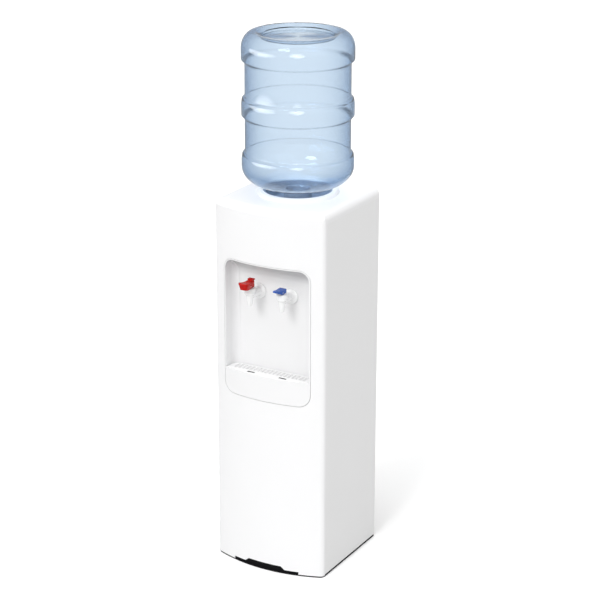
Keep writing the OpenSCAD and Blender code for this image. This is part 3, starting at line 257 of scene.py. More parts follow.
def slice_at(obj, axis, values):
    """Cut the faces of a mesh along planes square to an axis, in millimetres."""
    edit(obj)
    for value in values:
        bpy.ops.mesh.select_all(action="SELECT")
        point, normal = [0, 0, 0], [0, 0, 0]
        point[axis], normal[axis] = value * MM, 1
        bpy.ops.mesh.bisect(plane_co=point, plane_no=normal)
    done(obj)


def arc(cx, cy, rx, ry, start, end, steps):
    """Points along an arc, between two angles in degrees."""
    angles = [math.radians(start + (end - start) * i / steps) for i in range(steps + 1)]
    return [(cx + rx * math.cos(a), cy + ry * math.sin(a)) for a in angles]


def softened(points, radius):
    """Round the corners of a closed profile with short curves."""
    steps, side_share, straight, smallest = 3, 0.45, 3.0, 0.02
    out = []
    for i, point in enumerate(points):
        before, corner = Vector(points[i - 1]), Vector(point)
        after = Vector(points[(i + 1) % len(points)])
        back, ahead = before - corner, after - corner
        turn = back.angle(ahead, math.pi)
        reach = radius / math.tan(turn / 2) if turn < straight else 0
        reach = min(reach, back.length * side_share, ahead.length * side_share)
        if reach < smallest or point[0] == 0:
            out.append(point)
            continue
        start, end = corner + back.normalized() * reach, corner + ahead.normalized() * reach
        for k in range(steps + 1):
            t = k / steps
            spot = start * (1 - t) ** 2 + corner * 2 * t * (1 - t) + end * t * t
            out.append((spot.x, spot.y))
    return out


def smooth(obj, angle=35):
    """Shade smooth, keeping edges sharper than the angle."""
    only(obj)
    bpy.ops.object.shade_smooth_by_angle(angle=math.radians(angle))
    return obj


def apply_all(obj):
    """Apply an object's modifiers in order."""
    only(obj)
    for modifier in list(obj.modifiers):
        bpy.ops.object.modifier_apply(modifier=modifier.name)


def copy_of(node, name, flat=0.25):
    """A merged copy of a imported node, with faces that turn less than flat degrees made one."""
    obj = bpy.data.objects.new(name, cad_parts[node].data.copy())
    bpy.context.scene.collection.objects.link(obj)
    obj.data.name = name
    obj.data.materials.clear()
    edit(obj, "SELECT")
    bpy.ops.mesh.customdata_custom_splitnormals_clear()
    bpy.ops.mesh.remove_doubles(threshold=WELD)
    bpy.ops.mesh.dissolve_limited(angle_limit=math.radians(flat))
    return done(obj)


def rounded(obj, width, segments=3):
    """Round an object's sharp edges and level the shading of its flat faces."""
    bevel = obj.modifiers.new("edges", "BEVEL")
    bevel.width = width * MM
    bevel.segments = segments
    bevel.limit_method = "ANGLE"
    bevel.angle_limit = math.radians(SHARP_EDGE)
    bevel.miter_outer = "MITER_ARC"
    apply_all(obj)
    smooth(obj, 50)
    level = obj.modifiers.new("level", "WEIGHTED_NORMAL")
    level.keep_sharp = True
    apply_all(obj)
    return obj


def full_round(tube):
    """Turn a faceted tube round by subdivision, with the rims of its ends kept where they are."""
    edit(tube)
    bpy.ops.mesh.select_mode(type="EDGE")
    bpy.ops.mesh.edges_select_sharp(sharpness=math.radians(TUBE_RIM))
    bpy.ops.transform.edge_crease(value=1)
    done(tube)
    surface = tube.modifiers.new("round", "SUBSURF")
    surface.levels = surface.render_levels = 1
    apply_all(tube)
    return smooth(tube, 60)


def boolean(obj, other, operation="UNION"):
    """Join or cut one object with another, which is used up."""
    modifier = obj.modifiers.new(operation.lower(), "BOOLEAN")
    modifier.operation = operation
    modifier.solver = "EXACT"
    modifier.object = other
    apply_all(obj)
    bpy.data.objects.remove(other)
    return obj


def block(name, low, high):
    """A box between two corners, in millimetres."""
    low, high = Vector(low) * MM, Vector(high) * MM
    bpy.ops.mesh.primitive_cube_add(size=1, location=(low + high) / 2)
    bpy.ops.transform.resize(value=high - low)
    bpy.ops.object.transform_apply()
    return newest(name)


def joined(name, parts):
    """Several objects made one."""
    only(parts[0])
    for part in parts:
        part.select_set(True)
    bpy.ops.object.join()
    return newest(name)


def paint(obj, finish):
    """Give an object one finish."""
    obj.data.materials.clear()
    obj.data.materials.append(finish_of(finish))


def settle(obj, finish, body, slot, *nodes):
    """Give a finished piece its material and its body, and hide the nodes it stands for; the slot is not
    used.
    """
    paint(obj, finish)
    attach(obj, body)
    if nodes:
        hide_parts(*nodes)


def skinned(node, name, width, segments, finish, body, slot, change=None):
    """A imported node's copy with soft edges, set in the node's place."""
    piece = copy_of(node, name)
    if change:
        change(piece)
    settle(rounded(piece, width, segments), finish, body, slot, node)


# Helpers for shader nodes

COLOUR, NUMBER, VECTOR = "NodeSocketColor", "NodeSocketFloat", "NodeSocketVector"
SURFACE = [("Colour", COLOUR), ("Roughness", NUMBER), ("Height", NUMBER)]


def feed(tree, socket, value):
    """Link a socket to another one, or set its own value."""
    if hasattr(value, "links"):
        tree.links.new(value, socket)
    else:
        socket.default_value = value


def set_inputs(node, values):
    """Set a node's sockets, each named by its words joined with underscores."""
    for label, value in values.items():
        node.inputs[label.replace("_", " ").title().replace("Ior", "IOR")].default_value = value


def new_group(name, inputs, outputs):
    """An empty shader node group with named sockets."""
    group = bpy.data.node_groups.new(name, "ShaderNodeTree")
    for label, kind, value in inputs:
        socket = group.interface.new_socket(name=label, in_out="INPUT", socket_type=kind)
        socket.default_value = value
    for label, kind in outputs:
        group.interface.new_socket(name=label, in_out="OUTPUT", socket_type=kind)
    return group, group.nodes.new("NodeGroupInput"), group.nodes.new("NodeGroupOutput")


def use_group(tree, name, build, **values):
    """A node of a shared group, which is built the first time it is asked for."""
    node = tree.nodes.new("ShaderNodeGroup")
    node.node_tree = bpy.data.node_groups.get(name) or build(name)
    set_inputs(node, values)
    return node


def object_place(tree):
    """Where a point of the surface lies on its object."""
    return tree.nodes.new("ShaderNodeTexCoord").outputs["Object"]


def height_part(tree, vector):
    """The upward part of a vector."""
    parts = tree.nodes.new("ShaderNodeSeparateXYZ")
    tree.links.new(vector, parts.inputs[0])
    return parts.outputs["Z"]


def facing_up(tree):
    """How far the surface faces up, from -1 to 1."""
    return height_part(tree, tree.nodes.new("ShaderNodeNewGeometry").outputs["Normal"])


def noise(tree, source, scale, detail, roughness=0.55, output="Fac"):
    """A noise texture on given coordinates."""
    node = tree.nodes.new("ShaderNodeTexNoise")
    set_inputs(node, {"detail": detail, "roughness": roughness})
    feed(tree, node.inputs["Scale"], scale)
    tree.links.new(source, node.inputs["Vector"])
    return node.outputs[output]


def maths(tree, operation, a, b):
    """A Math node fed by sockets or numbers."""
    node = tree.nodes.new("ShaderNodeMath")
    node.operation = operation
    feed(tree, node.inputs[0], a)
    feed(tree, node.inputs[1], b)
    return node.outputs[0]


def vector_maths(tree, operation, a, b=(0, 0, 0)):
    """A Vector Math node on a socket, with a second one or three numbers."""
    node = tree.nodes.new("ShaderNodeVectorMath")
    node.operation = operation
    tree.links.new(a, node.inputs[0])
    feed(tree, node.inputs[1], b)
    return node.outputs[0]


def mixed(tree, factor, a, b):
    """A colour Mix node fed by sockets or by colours of three numbers."""
    node = tree.nodes.new("ShaderNodeMix")
    node.data_type = "RGBA"
    for label, value in (("Factor", factor), ("A", a), ("B", b)):
        socket = next(s for s in node.inputs if s.name == label and s.enabled)
        feed(tree, socket, (*value, 1.0) if isinstance(value, tuple) else value)
    return next(s for s in node.outputs if s.enabled)


def spread(tree, value, low, high, curve="LINEAR"):
    """A value spread from 0 at one limit to 1 at the other."""
    node = tree.nodes.new("ShaderNodeMapRange")
    node.interpolation_type = curve
    set_inputs(node, {"from_min": low, "from_max": high})
    tree.links.new(value, node.inputs["Value"])
    return node.outputs["Result"]


def swing(tree, value, amount):
    """A texture's value made to swing about zero."""
    return maths(tree, "MULTIPLY", maths(tree, "SUBTRACT", value, 0.5), amount)


def toned(group, start, end, change):
    """Pass a group's colour through, made lighter or darker by a change about zero."""
    tone = group.nodes.new("ShaderNodeHueSaturation")
    group.links.new(start.outputs["Colour"], tone.inputs["Color"])
    group.links.new(maths(group, "ADD", change, 1.0), tone.inputs["Value"])
    group.links.new(tone.outputs["Color"], end.inputs["Colour"])


def raise_bump(tree, bsdf, height, strength, distance):
    """A Bump node from a height to the shader's normal."""
    bump = tree.nodes.new("ShaderNodeBump")
    set_inputs(bump, {"strength": strength, "distance": distance})
    tree.links.new(height, bump.inputs["Height"])
    tree.links.new(bump.outputs["Normal"], bsdf.inputs["Normal"])


# Node groups shared by the materials


def skin_group(name):
    """Moulded or painted skin: slight mottle of colour and gloss, and a fine grain."""
    group, start, end = new_group(
        name,
        [("Colour", COLOUR, (0.8, 0.8, 0.8, 1)), ("Gloss", NUMBER, 0.3),
         ("Mottle", NUMBER, 0.02), ("Grain Scale", NUMBER, 900.0)],
        SURFACE)
    where = object_place(group)
    broad = noise(group, where, 9.0, 4.0)
    grain = noise(group, where, start.outputs["Grain Scale"], 2.0)
    toned(group, start, end, swing(group, broad, start.outputs["Mottle"]))
    gloss = maths(group, "ADD", swing(group, broad, 0.12), start.outputs["Gloss"])
    group.links.new(gloss, end.inputs["Roughness"])
    group.links.new(grain, end.inputs["Height"])
    return group


def metal_group(name):
    """Drawn or rolled metal: fine lines along one way and slow cloudy changes."""
    group, start, end = new_group(
        name,
        [("Colour", COLOUR, (0.7, 0.7, 0.7, 1)), ("Gloss", NUMBER, 0.35),
         ("Stretch", VECTOR, (4.0, 4.0, 400.0)), ("Cloud", NUMBER, 0.15)],
        SURFACE)
    where = object_place(group)
    scaled = vector_maths(group, "MULTIPLY", where, start.outputs["Stretch"])
    lines = noise(group, scaled, 1.0, 5.0, 0.65)
    cloud = noise(group, where, 22.0, 3.0)
    toned(group, start, end, swing(group, cloud, start.outputs["Cloud"]))
    gloss = maths(group, "ADD", swing(group, lines, 0.3), start.outputs["Gloss"])
    group.links.new(gloss, end.inputs["Roughness"])
    group.links.new(lines, end.inputs["Height"])
    return group


def spangle_group(name):
    """Zinc crystals of galvanised sheet."""
    group, start, end = new_group(
        name,
        [("Colour", COLOUR, (0.6, 0.62, 0.64, 1)), ("Crystal Scale", NUMBER, 70.0)],
        SURFACE)
    where = object_place(group)
    warp = noise(group, where, 60.0, 2.0, output="Color")
    cells = group.nodes.new("ShaderNodeTexVoronoi")
    group.links.new(mixed(group, 0.02, where, warp), cells.inputs["Vector"])
    group.links.new(start.outputs["Crystal Scale"], cells.inputs["Scale"])
    crystal = group.nodes.new("ShaderNodeSeparateColor")
    group.links.new(cells.outputs["Color"], crystal.inputs[0])
    shade, dulling, relief = crystal.outputs
    toned(group, start, end, swing(group, shade, 0.16))
    gloss = maths(group, "ADD", maths(group, "MULTIPLY", dulling, 0.18), 0.34)
    group.links.new(gloss, end.inputs["Roughness"])
    group.links.new(relief, end.inputs["Height"])
    return group


def dust_group(name):
    """Pale dust on what faces up."""
    group, start, end = new_group(
        name,
        [("Colour", COLOUR, (0.1, 0.1, 0.1, 1)), ("Dust", COLOUR, (0.5, 0.48, 0.45, 1)),
         ("Amount", NUMBER, 0.3)],
        [("Colour", COLOUR), ("Mask", NUMBER)])
    up = maths(group, "MAXIMUM", facing_up(group), 0.0)
    patch = noise(group, object_place(group), 45.0, 5.0)
    mask = maths(group, "MULTIPLY", maths(group, "MULTIPLY", up, patch), start.outputs["Amount"])
    dusty = mixed(group, mask, start.outputs["Colour"], start.outputs["Dust"])
    group.links.new(dusty, end.inputs["Colour"])
    group.links.new(mask, end.inputs["Mask"])
    return group


# Strokes of painted shade where the upper bands start, for dark surroundings seen through the glass: low
# end, darkest place and high end, in mm above the shoulder
BAND_SHADE_STROKES = ((162, 171, 177), (296, 305, 311))


def spoke_group(name):
    """Direction from the bottle's axis, the bands' strokes of painted shade and the slow waves drawn up
    its wall.
    """
    group, start, end = new_group(
        name,
        [("Wave Scale", NUMBER, 26.0)],
        [("Spoke", VECTOR), ("Height", NUMBER), ("Stroke", NUMBER)])
    where = object_place(group)
    spoke = vector_maths(group, "SUBTRACT", where, (0, WELL_Y * MM, 0))
    spoke = vector_maths(group, "MULTIPLY", spoke, (1, 1, 0))
    group.links.new(vector_maths(group, "NORMALIZE", spoke), end.inputs["Spoke"])
    rise = spread(group, height_part(group, where), SHOULDER_Z * MM, BOTTLE_HIGH[2] * MM)
    ramp = group.nodes.new("ShaderNodeValToRGB")
    group.links.new(rise, ramp.inputs["Fac"])
    stops = ramp.color_ramp.elements
    stops[0].color, stops[1].color = (0, 0, 0, 1), (0, 0, 0, 1)
    for low, darkest, high in BAND_SHADE_STROKES:
        for spot, value in ((low, 0.0), (darkest, 1.0), (high, 0.0)):
            stops.new(spot / (BOTTLE_HIGH[2] - SHOULDER_Z)).color = (value, value, value, 1)
    group.links.new(ramp.outputs["Color"], end.inputs["Stroke"])
    drawn = vector_maths(group, "MULTIPLY", where, (1, 1, 0.12))
    wave = noise(group, drawn, start.outputs["Wave Scale"], 2.0)
    group.links.new(wave, end.inputs["Height"])
    return group


# Materials

SKIN_RELIEF, METAL_RELIEF, WAVE_RELIEF = 0.0004, 0.0001, 0.003  # depths of the bumps, in metres
# Colour of the painted shade on faces that look down
SHADE_GREY = (0.1, 0.1, 0.105)
# Colour of the painted shade deep in the grille's slots
SLOT_SHADE_BLACK = (0.02, 0.02, 0.02)
STROKE_SHADE_BLUE = (0.03, 0.055, 0.09)


def shader(name, **values):
    """A new material with its Principled shader, and constant numbers set on its sockets."""
    material = bpy.data.materials.new(name)
    material.use_nodes = True
    bsdf = material.node_tree.nodes["Principled BSDF"]
    set_inputs(bsdf, values)
    return material, material.node_tree, bsdf


def wear(tree, bsdf, face, colour, bump, distance):
    """Put a colour, and a group's roughness and relief, on the shader."""
    tree.links.new(colour, bsdf.inputs["Base Color"])
    tree.links.new(face.outputs["Roughness"], bsdf.inputs["Roughness"])
    raise_bump(tree, bsdf, face.outputs["Height"], bump, distance)


def skin(name, colour, gloss, mottle, grain, bump, dust=0, shade=0, pit=0, **values):
    """A moulded or painted finish, which can be dusty on top, with painted shade on faces that look down
    and painted shade deep in its slots.
    """
    material, tree, bsdf = shader(name, **values)
    if isinstance(colour, str):
        colour = user_colour(colour)
    face = use_group(
        tree, "Skin", skin_group, colour=(*colour, 1), gloss=gloss, mottle=mottle, grain_scale=grain)
    tone = face.outputs["Colour"]
    if dust:
        cover = use_group(tree, "Dust", dust_group, amount=dust)
        tree.links.new(tone, cover.inputs["Colour"])
        tone = cover.outputs["Colour"]
    # Painted shade on faces that look down, such as the alcove's ceiling
    if shade:
        down = maths(tree, "MAXIMUM", maths(tree, "MULTIPLY", facing_up(tree), -shade), 0.0)
        tone = mixed(tree, down, tone, SHADE_GREY)
    # Painted shade in the slots, darker the deeper a point lies below the given top
    if pit:
        level = height_part(tree, object_place(tree))
        tone = mixed(tree, spread(tree, level, (pit - 0.4) * MM, (pit - 1.4) * MM), tone, SLOT_SHADE_BLACK)
    wear(tree, bsdf, face, tone, bump, SKIN_RELIEF)
    return material


def metal(name, colour, gloss, stretch=(4, 4, 400), cloud=0.15):
    """A bare rolled or drawn metal."""
    material, tree, bsdf = shader(name, metallic=1.0)
    face = use_group(
        tree, "Rolled metal", metal_group,
        colour=(*colour, 1), gloss=gloss, stretch=stretch, cloud=cloud)
    wear(tree, bsdf, face, face.outputs["Colour"], 0.05, METAL_RELIEF)
    return material


def galvanised(name):
    """Zinc-coated sheet with its crystals."""
    material, tree, bsdf = shader(name, metallic=1.0)
    face = use_group(tree, "Zinc spangle", spangle_group)
    wear(tree, bsdf, face, face.outputs["Colour"], 0.04, METAL_RELIEF)
    return material


def clear_blue(name):
    """Clear tinted polycarbonate, darker and bluer where its round wall turns away: partly the longer
    path through the wall, partly painted shade for dark surroundings seen through the glass.
    """
    material, tree, bsdf = shader(
        name, metallic=0.0, ior=1.45, roughness=0.03, transmission_weight=1.0)
    shape = use_group(tree, "Bottle spokes", spoke_group)
    wall_curve, wall_share, rim_blend, rim_share = 1.6, 0.72, 0.4, 0.75
    shade_stroke_start, shade_stroke_full = 0.22, 0.55
    # Darker towards the sides: partly the deeper tint of the wall seen on a slant, partly painted shade
    axis_view = tree.nodes.new("ShaderNodeLayerWeight")
    tree.links.new(shape.outputs["Spoke"], axis_view.inputs["Normal"])
    side = axis_view.outputs["Facing"]
    glance = tree.nodes.new("ShaderNodeLayerWeight")
    glance.inputs["Blend"].default_value = rim_blend
    wall = maths(tree, "MULTIPLY", maths(tree, "POWER", side, wall_curve), wall_share)
    rim = maths(tree, "MULTIPLY", glance.outputs["Facing"], side)
    edge_tint_and_shade = maths(tree, "ADD", wall, maths(tree, "MULTIPLY", rim, rim_share))
    edge_tint_and_shade = maths(tree, "MINIMUM", edge_tint_and_shade, 1.0)
    tint = mixed(tree, edge_tint_and_shade, user_colour("bottle"), user_colour("bottle_edge"))
    # Painted shade strokes at the bands' edges, strongest towards the bottle's sides
    ends = spread(tree, side, shade_stroke_start, shade_stroke_full, "SMOOTHSTEP")
    shade_stroke = maths(tree, "MULTIPLY", ends, shape.outputs["Stroke"])
    tree.links.new(mixed(tree, shade_stroke, tint, STROKE_SHADE_BLUE), bsdf.inputs["Base Color"])
    raise_bump(tree, bsdf, shape.outputs["Height"], 0.16, WAVE_RELIEF)
    return material


def plain(label, *recipe, **values):
    """A skin finish from its colour, gloss, mottle, grain and bump."""
    return label, skin, recipe, values


def bare(label, *recipe):
    """A metal finish from its colour, gloss, stretch of the lines and cloud."""
    return label, metal, recipe, {}


# Each finish, with its material's name. A colour given as a word is one of the user's.
FINISHES = {
    "white": plain("White plastic", "white", 0.33, 0.012, 1400, 0.012),
    # The alcove gets painted shade on faces that look down
    "alcove": plain("Alcove plastic", "alcove", 0.38, 0.012, 1100, 0.02, shade=0.6),
    # The grille gets painted shade deep in its slots
    "grille": plain("Grille plastic", "alcove", 0.38, 0.012, 1100, 0.02, pit=GRILLE_TOP),
    "tap white": plain("Tap plastic", (0.93, 0.935, 0.935), 0.24, 0.015, 900, 0.01),
    "enamel": plain("Enamelled steel", "enamel", 0.36, 0.012, 420, 0.035),
    "red": plain("Hot red", "red", 0.26, 0.05, 900, 0.012, specular_ior_level=0.22),
    "blue": plain("Cold blue", "blue", 0.26, 0.05, 900, 0.012, specular_ior_level=0.22),
    "slate": plain("Guard slate", "slate", 0.38, 0.06, 700, 0.03),
    "base": plain("Base black", (0.006, 0.006, 0.007), 0.62, 0.2, 600, 0.08, specular_ior_level=0.08),
    "black plastic": plain("Black plastic", (0.02, 0.02, 0.021), 0.42, 0.2, 700, 0.05),
    "black paint": plain("Black paint", (0.016, 0.016, 0.017), 0.36, 0.3, 240, 0.12, dust=0.16),
    "rubber": plain("Black rubber", (0.02, 0.02, 0.02), 0.75, 0.3, 500, 0.1),
    "silicone": plain("Silicone", (0.74, 0.76, 0.76), 0.42, 0.06, 500, 0.03, subsurface_weight=0.15),
    "food white": plain("Food-safe plastic", (0.82, 0.83, 0.83), 0.4, 0.03, 800, 0.02),
    "foam": plain("Foam", (0.78, 0.72, 0.52), 0.85, 0.22, 260, 0.5),
    "cap blue": plain("Cap blue", (0.05, 0.17, 0.5), 0.36, 0.05, 700, 0.03),
    "green": plain("Switch green", (0.02, 0.22, 0.07), 0.25, 0.06, 900, 0.015),
    "dark red": plain("Switch red", (0.36, 0.012, 0.01), 0.25, 0.06, 900, 0.015),
    "print": plain("White print", (0.8, 0.8, 0.8), 0.5, 0.05, 900, 0.01),
    "stainless": bare("Stainless steel", (0.62, 0.62, 0.61), 0.3),
    "bright steel": bare("Bright steel", (0.66, 0.66, 0.66), 0.24, (60, 60, 60), 0.1),
    "copper": bare("Copper", (0.63, 0.33, 0.20), 0.36, (25, 25, 25), 0.5),
    "galvanised": ("Galvanised sheet", galvanised, (), {}),
    "clear blue": ("Clear blue", clear_blue, (), {}),
}

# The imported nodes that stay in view, under their finishes
NODE_FINISH = {
    "stainless": ("cold_tank", "hot_tank"),
    "copper": ("filter_drier",),
    "foam": ("foam_jacket", "tank_lid", "hot_jacket"),
    "food white": ("baffle", "feed_probe", "stem_hot", "stem_cold", "drain_outlet", "drain_cap"),
    "galvanised": ("tank_shelf", "hot_shelf", "back_panel", "thermostat"),
    "silicone": ("feed_hose", "seal_hot", "seal_cold"),
    "black plastic": (
        "cutouts", "relay_box", "condenser_clips", "thermostat_knob", "switch_frames", "cord_gland"),
    "black paint": ("compressor", "condenser_wires"),
    "rubber": ("grommets",),
    "dark red": ("rocker_hot",),
    "green": ("rocker_cold",),
    "bright steel": ("spring_hot", "spring_cold", "lever_pin_hot", "lever_pin_cold"),
    "tap white": ("tap_nut_hot", "tap_nut_cold"),
    "cap blue": ("bottle_cap",),
}


def finish_of(word):
    """The material of a finish, made the first time it is asked for."""
    label, make, recipe, values = FINISHES[word]
    return bpy.data.materials.get(label) or make(label, *recipe, **values)


# Building functions, one for each operator

SIDE_FOOT = 6  # what lies lower on a side panel is its lower edge
FOOT_GAP = 2.0  # which is raised by this much, to show the black foot


def build_panels():
    """Bowed front, top cover, side panels and base, with soft edges."""
    edge = bpy.context.scene.cooler_sizes.panel_round
    skinned("front_panel", "front_skin", edge, 3, "white", "cabinet", "panel_white")
    skinned("top_cover", "deck_skin", edge, 3, "white", "cabinet", "panel_white")
    for side in ("left", "right"):
        skinned(
            f"side_{side}", f"side_skin_{side}", 0.5, 2, "enamel", "cabinet", "panel_steel",
            lambda panel: shift(panel, lambda v: v.z < SIDE_FOOT, 0, 0, FOOT_GAP))
    skinned("base", "base_skin", 0.8, 2, "base", "cabinet", "base_black")


def grille_plate():
    """Plate with rows of drain slots, and a bowed front like the cabinet's."""
    low, high = node_box("drip_grille")
    # The plate starts longer by the spare, and the bow cuts it off behind the cabinet's front
    spare, set_back, corner = 8, 8, 17.2
    width, depth = 2 * high[0], high[1] - low[1] + spare
    bpy.ops.mesh.primitive_plane_add(
        size=1, location=(0, (high[1] + low[1] - spare) / 2 * MM, high[2] * MM))
    plate = newest("grille_skin")
    bpy.ops.transform.resize(value=(width * MM, depth * MM, 1))
    bpy.ops.object.transform_apply()
    pick(plate, "VERT", lambda v: v.y > low[1])
    bpy.ops.mesh.bevel(offset=corner * MM, affect="VERTICES", segments=8)
    done(plate)
    slot, wide_slot = (3.8, 1.2), (10.5, 3.4)
    pitch, row_pitch, last_row = 10.6, 5, high[1] - 5.7
    slots = [(c * pitch, last_row - row_pitch * i, *slot) for i in range(5) for c in range(-9, 10)]
    slots += [(s * TAP_X, TAP_Y + 2, *wide_slot) for s in (-1, 1)]
    slice_at(plate, 0, sorted({round(x + s * w, 3) for x, y, w, h in slots for s in (-1, 1)}))
    slice_at(plate, 1, sorted({round(y + s * h, 3) for x, y, w, h in slots for s in (-1, 1)}))
    pick(plate, "FACE", lambda c: any(abs(c.x - x) < w and abs(c.y - y) < h for x, y, w, h in slots))
    bpy.ops.mesh.delete(type="FACE")
    bpy.ops.mesh.select_all(action="SELECT")
    bpy.ops.mesh.extrude_region_move(
        TRANSFORM_OT_translate={"value": (0, 0, (low[2] - high[2]) * MM)})
    bpy.ops.mesh.select_all(action="SELECT")
    bpy.ops.mesh.normals_make_consistent(inside=False)
    done(plate)
    bpy.ops.mesh.primitive_cylinder_add(
        vertices=768, radius=(BOW_R - set_back) * MM, depth=0.02,
        location=(0, (FRONT_Y + BOW_R) * MM, high[2] * MM))
    return boolean(plate, bpy.context.object, "INTERSECT")


def build_alcove():
    """Surround, drip tray and grille."""
    edge = bpy.context.scene.cooler_sizes.panel_round
    skinned("surround", "alcove_skin", edge, 3, "alcove", "cabinet", "alcove_white")
    skinned("drip_tray", "tray_skin", 1.0, 3, "alcove", "tray", "alcove_white")
    settle(rounded(grille_plate(), 0.35, 2), "grille", "grille", "grille_white", "drip_grille")


def band_step(r0, z0, r1, z1, steps=10):
    """A soft step between two radii, level with the axis at both ends."""
    return [
        (r0 + (r1 - r0) * (1 - math.cos(math.pi * i / steps)) / 2, z0 + (z1 - z0) * i / steps)
        for i in range(steps + 1)
    ]


def bend(a, b, c, d, steps=8):
    """Points along a cubic curve from a to d."""
    a, b, c, d = map(Vector, (a, b, c, d))
    curve = []
    for t in (i / steps for i in range(steps + 1)):
        spot = a * (1 - t) ** 3 + b * 3 * t * (1 - t) ** 2 + c * 3 * t * t * (1 - t) + d * t ** 3
        curve.append((spot.x, spot.y))
    return curve


def bottle_profile(inset):
    """Half outline of the bottle's wall from its mouth up to its base."""
    low, high = SHOULDER_Z, BOTTLE_HIGH[2]
    r, waist = BOTTLE_R - inset, BOTTLE_R - WAIST_STEP - inset
    # Neck and shoulder
    points = [(NECK_R - inset, low - 68), (NECK_R - inset, low - 18)]
    points += arc(NECK_R + 8, low - 18, 8 + inset, 8 + inset, 180, 105, 8)
    points += arc(70, low + 50, r - 70, 50 - inset, -80, 0, 22)
    # Lower, middle and upper band, with a waist after each of the first two
    points += arc(r - 6, low + 61.8, 6, 22, 4, 42, 7)
    points += band_step(r - 1.6, low + 77.2, waist, low + 85.5)
    points += band_step(waist, low + 166, r, low + 175)
    points += arc(r - 6, low + 196.3, 6, 22, 0, 42, 7)
    points += band_step(r - 1.6, low + 211.7, waist, low + 220)
    points += band_step(waist, low + 300, r, low + 309)
    # Round to the base, its crest, and the recess with its floor
    points += arc(BOTTLE_R - 30, high - 40, 30 - inset, 40 - inset, 0, 90, 24)
    crest, edge, floor = high - inset, high - 7 - inset, high - 12.5 - inset
    points += bend(
        (BOTTLE_R - 32, crest), (BOTTLE_R - 36, crest),
        (94 + inset, edge + 2.5), (88.6 + inset, edge + 0.3))
    points += arc(88 + inset, edge - 2, 2, 2, 75, 180, 5)
    points += arc(84 + inset, floor + 2, 2, 2, 0, -90, 5)
    return points + [(60, floor), (0, floor)]


def build_bottle():
    """Clear bottle with its three bands."""
    steps = bpy.context.scene.cooler_sizes.bottle_steps
    outline = bottle_profile(0) + bottle_profile(BOTTLE_WALL)[::-1]
    shell = smooth(turned("bottle_shell", outline, (0, WELL_Y, 0), UP, steps), 60)
    shell.visible_shadow = False
    settle(shell, "clear blue", "bottle", "bottle_blue", "bottle")


def build_guard():
    """Water guard in the well, turned from its profile."""
    ledge, cup, rim = DECK_Z + 1, SHOULDER_Z - 72, SHOULDER_Z - 12.3
    well, shelf, sleeve, gutter = 84.0, 80.5, 31.2, DECK_Z - 23
    jacket = sleeve + 2.8
    profile = [
        (6.5, cup - 17), (10, cup - 17), (10, cup - 2.7), (jacket, cup - 2.7),
        (jacket, gutter - 6.8), (shelf - 4, gutter - 3), (shelf - 0.3, ledge - 4),
        (shelf - 0.3, ledge + 0.3), (well - 0.3, ledge + 0.3), (well - 0.3, ledge + 3.3),
        (shelf - 2.4, ledge + 3.3), (shelf - 2.6, ledge - 3), (shelf - 6.4, gutter),
        (jacket, gutter - 4), (jacket, rim), (sleeve, rim), (sleeve, cup), (6.5, cup),
    ]
    guard = turned("guard_skin", softened(profile, 0.8), (0, WELL_Y, 0), UP, 128)
    settle(smooth(guard, 40), "slate", "guard", "guard_dark", "water_guard")


def tap_shell(side, x):
    """Flange, barrel, valve chamber and spout, blended as one moulding."""
    steps = bpy.context.scene.cooler_sizes.tap_steps
    flange_at, spout_at = (x, FLANGE_BACK, TAP_Z), (x, TAP_Y, SPOUT_Z)
    barrel = TAP_Y - FLANGE_BACK + 0.1
    flange = softened([
        (0, 0), (19, 0), (19, -3.5), (16, -6), (12, -6.8), (9, -10), (9, barrel), (0, barrel)], 1.2)
    chamber = softened([
        (0, 0), (5.4, 0), (7.6, 13), (8.4, 22), (9.2, 27), (13, 30.5), (13, 36), (0, 36)], 1.0)
    shank = softened([(0, -1), (9.8, -1), (9.8, 30), (5, 31), (5, 42), (0, 42)], 0.5)
    bore = [(0, -2), (4.4, -2), (4.4, 22.5), (6.8, 22.5), (6.8, 38), (0, 38)]
    body = turned("tap_flange", flange, flange_at, ALONG_Y, steps)
    boolean(body, turned("tap_chamber", chamber, spout_at, UP, steps))
    boolean(body, turned("tap_shank", shank, flange_at, ALONG_Y, steps))
    remesh = body.modifiers.new("blend", "REMESH")
    remesh.mode = "VOXEL"
    remesh.voxel_size = 0.5 * MM
    relax = body.modifiers.new("relax", "SMOOTH")
    relax.factor = 0.5
    relax.iterations = 6
    apply_all(body)
    boolean(body, turned("tap_bore", bore, spout_at, UP, steps), "DIFFERENCE")
    settle(smooth(body, 40), "tap white", "cabinet", "tap_white", f"tap_body_{side}")


def raise_tip(lever, side):
    """Sweep a lever's tip up, and set the hot skirt back under its brim."""
    spots, reach = ((14, 18, 22, 26), 1.0) if side == "cold" else ((20, 24, 28, 32), 0.0)
    rise, past_cut = 0.8, 0.1
    skirt_y, skirt_z, skirt_back = TAP_Y - 30, TAP_Z + 8, 3.5
    slice_at(lever, 1, [TAP_Y - spot for spot in spots])
    for spot in spots:
        shift(lever, lambda v: v.y < TAP_Y - spot - past_cut, 0, -reach, rise)
    if side == "hot":
        shift(lever, lambda v: v.y < skirt_y and v.z < skirt_z, 0, skirt_back, 0)


def build_taps():
    """Both taps with their bonnets and levers, and the catch."""
    edge = bpy.context.scene.cooler_sizes.lever_round
    for side, x, colour in (("hot", -TAP_X, "red"), ("cold", TAP_X, "blue")):
        tap_shell(side, x)
        bonnet = f"bonnet_{side}"
        skinned(bonnet, f"bonnet_skin_{side}", 0.35, 2, "tap white", "cabinet", "tap_white")
        skinned(
            f"lever_{side}", f"lever_skin_{side}", edge, 3, colour, f"lever_{side}",
            f"lever_{colour}", lambda lever: raise_tip(lever, side))
    skinned("hot_catch", "catch_skin", 0.35, 2, "red", "catch", "lever_red")


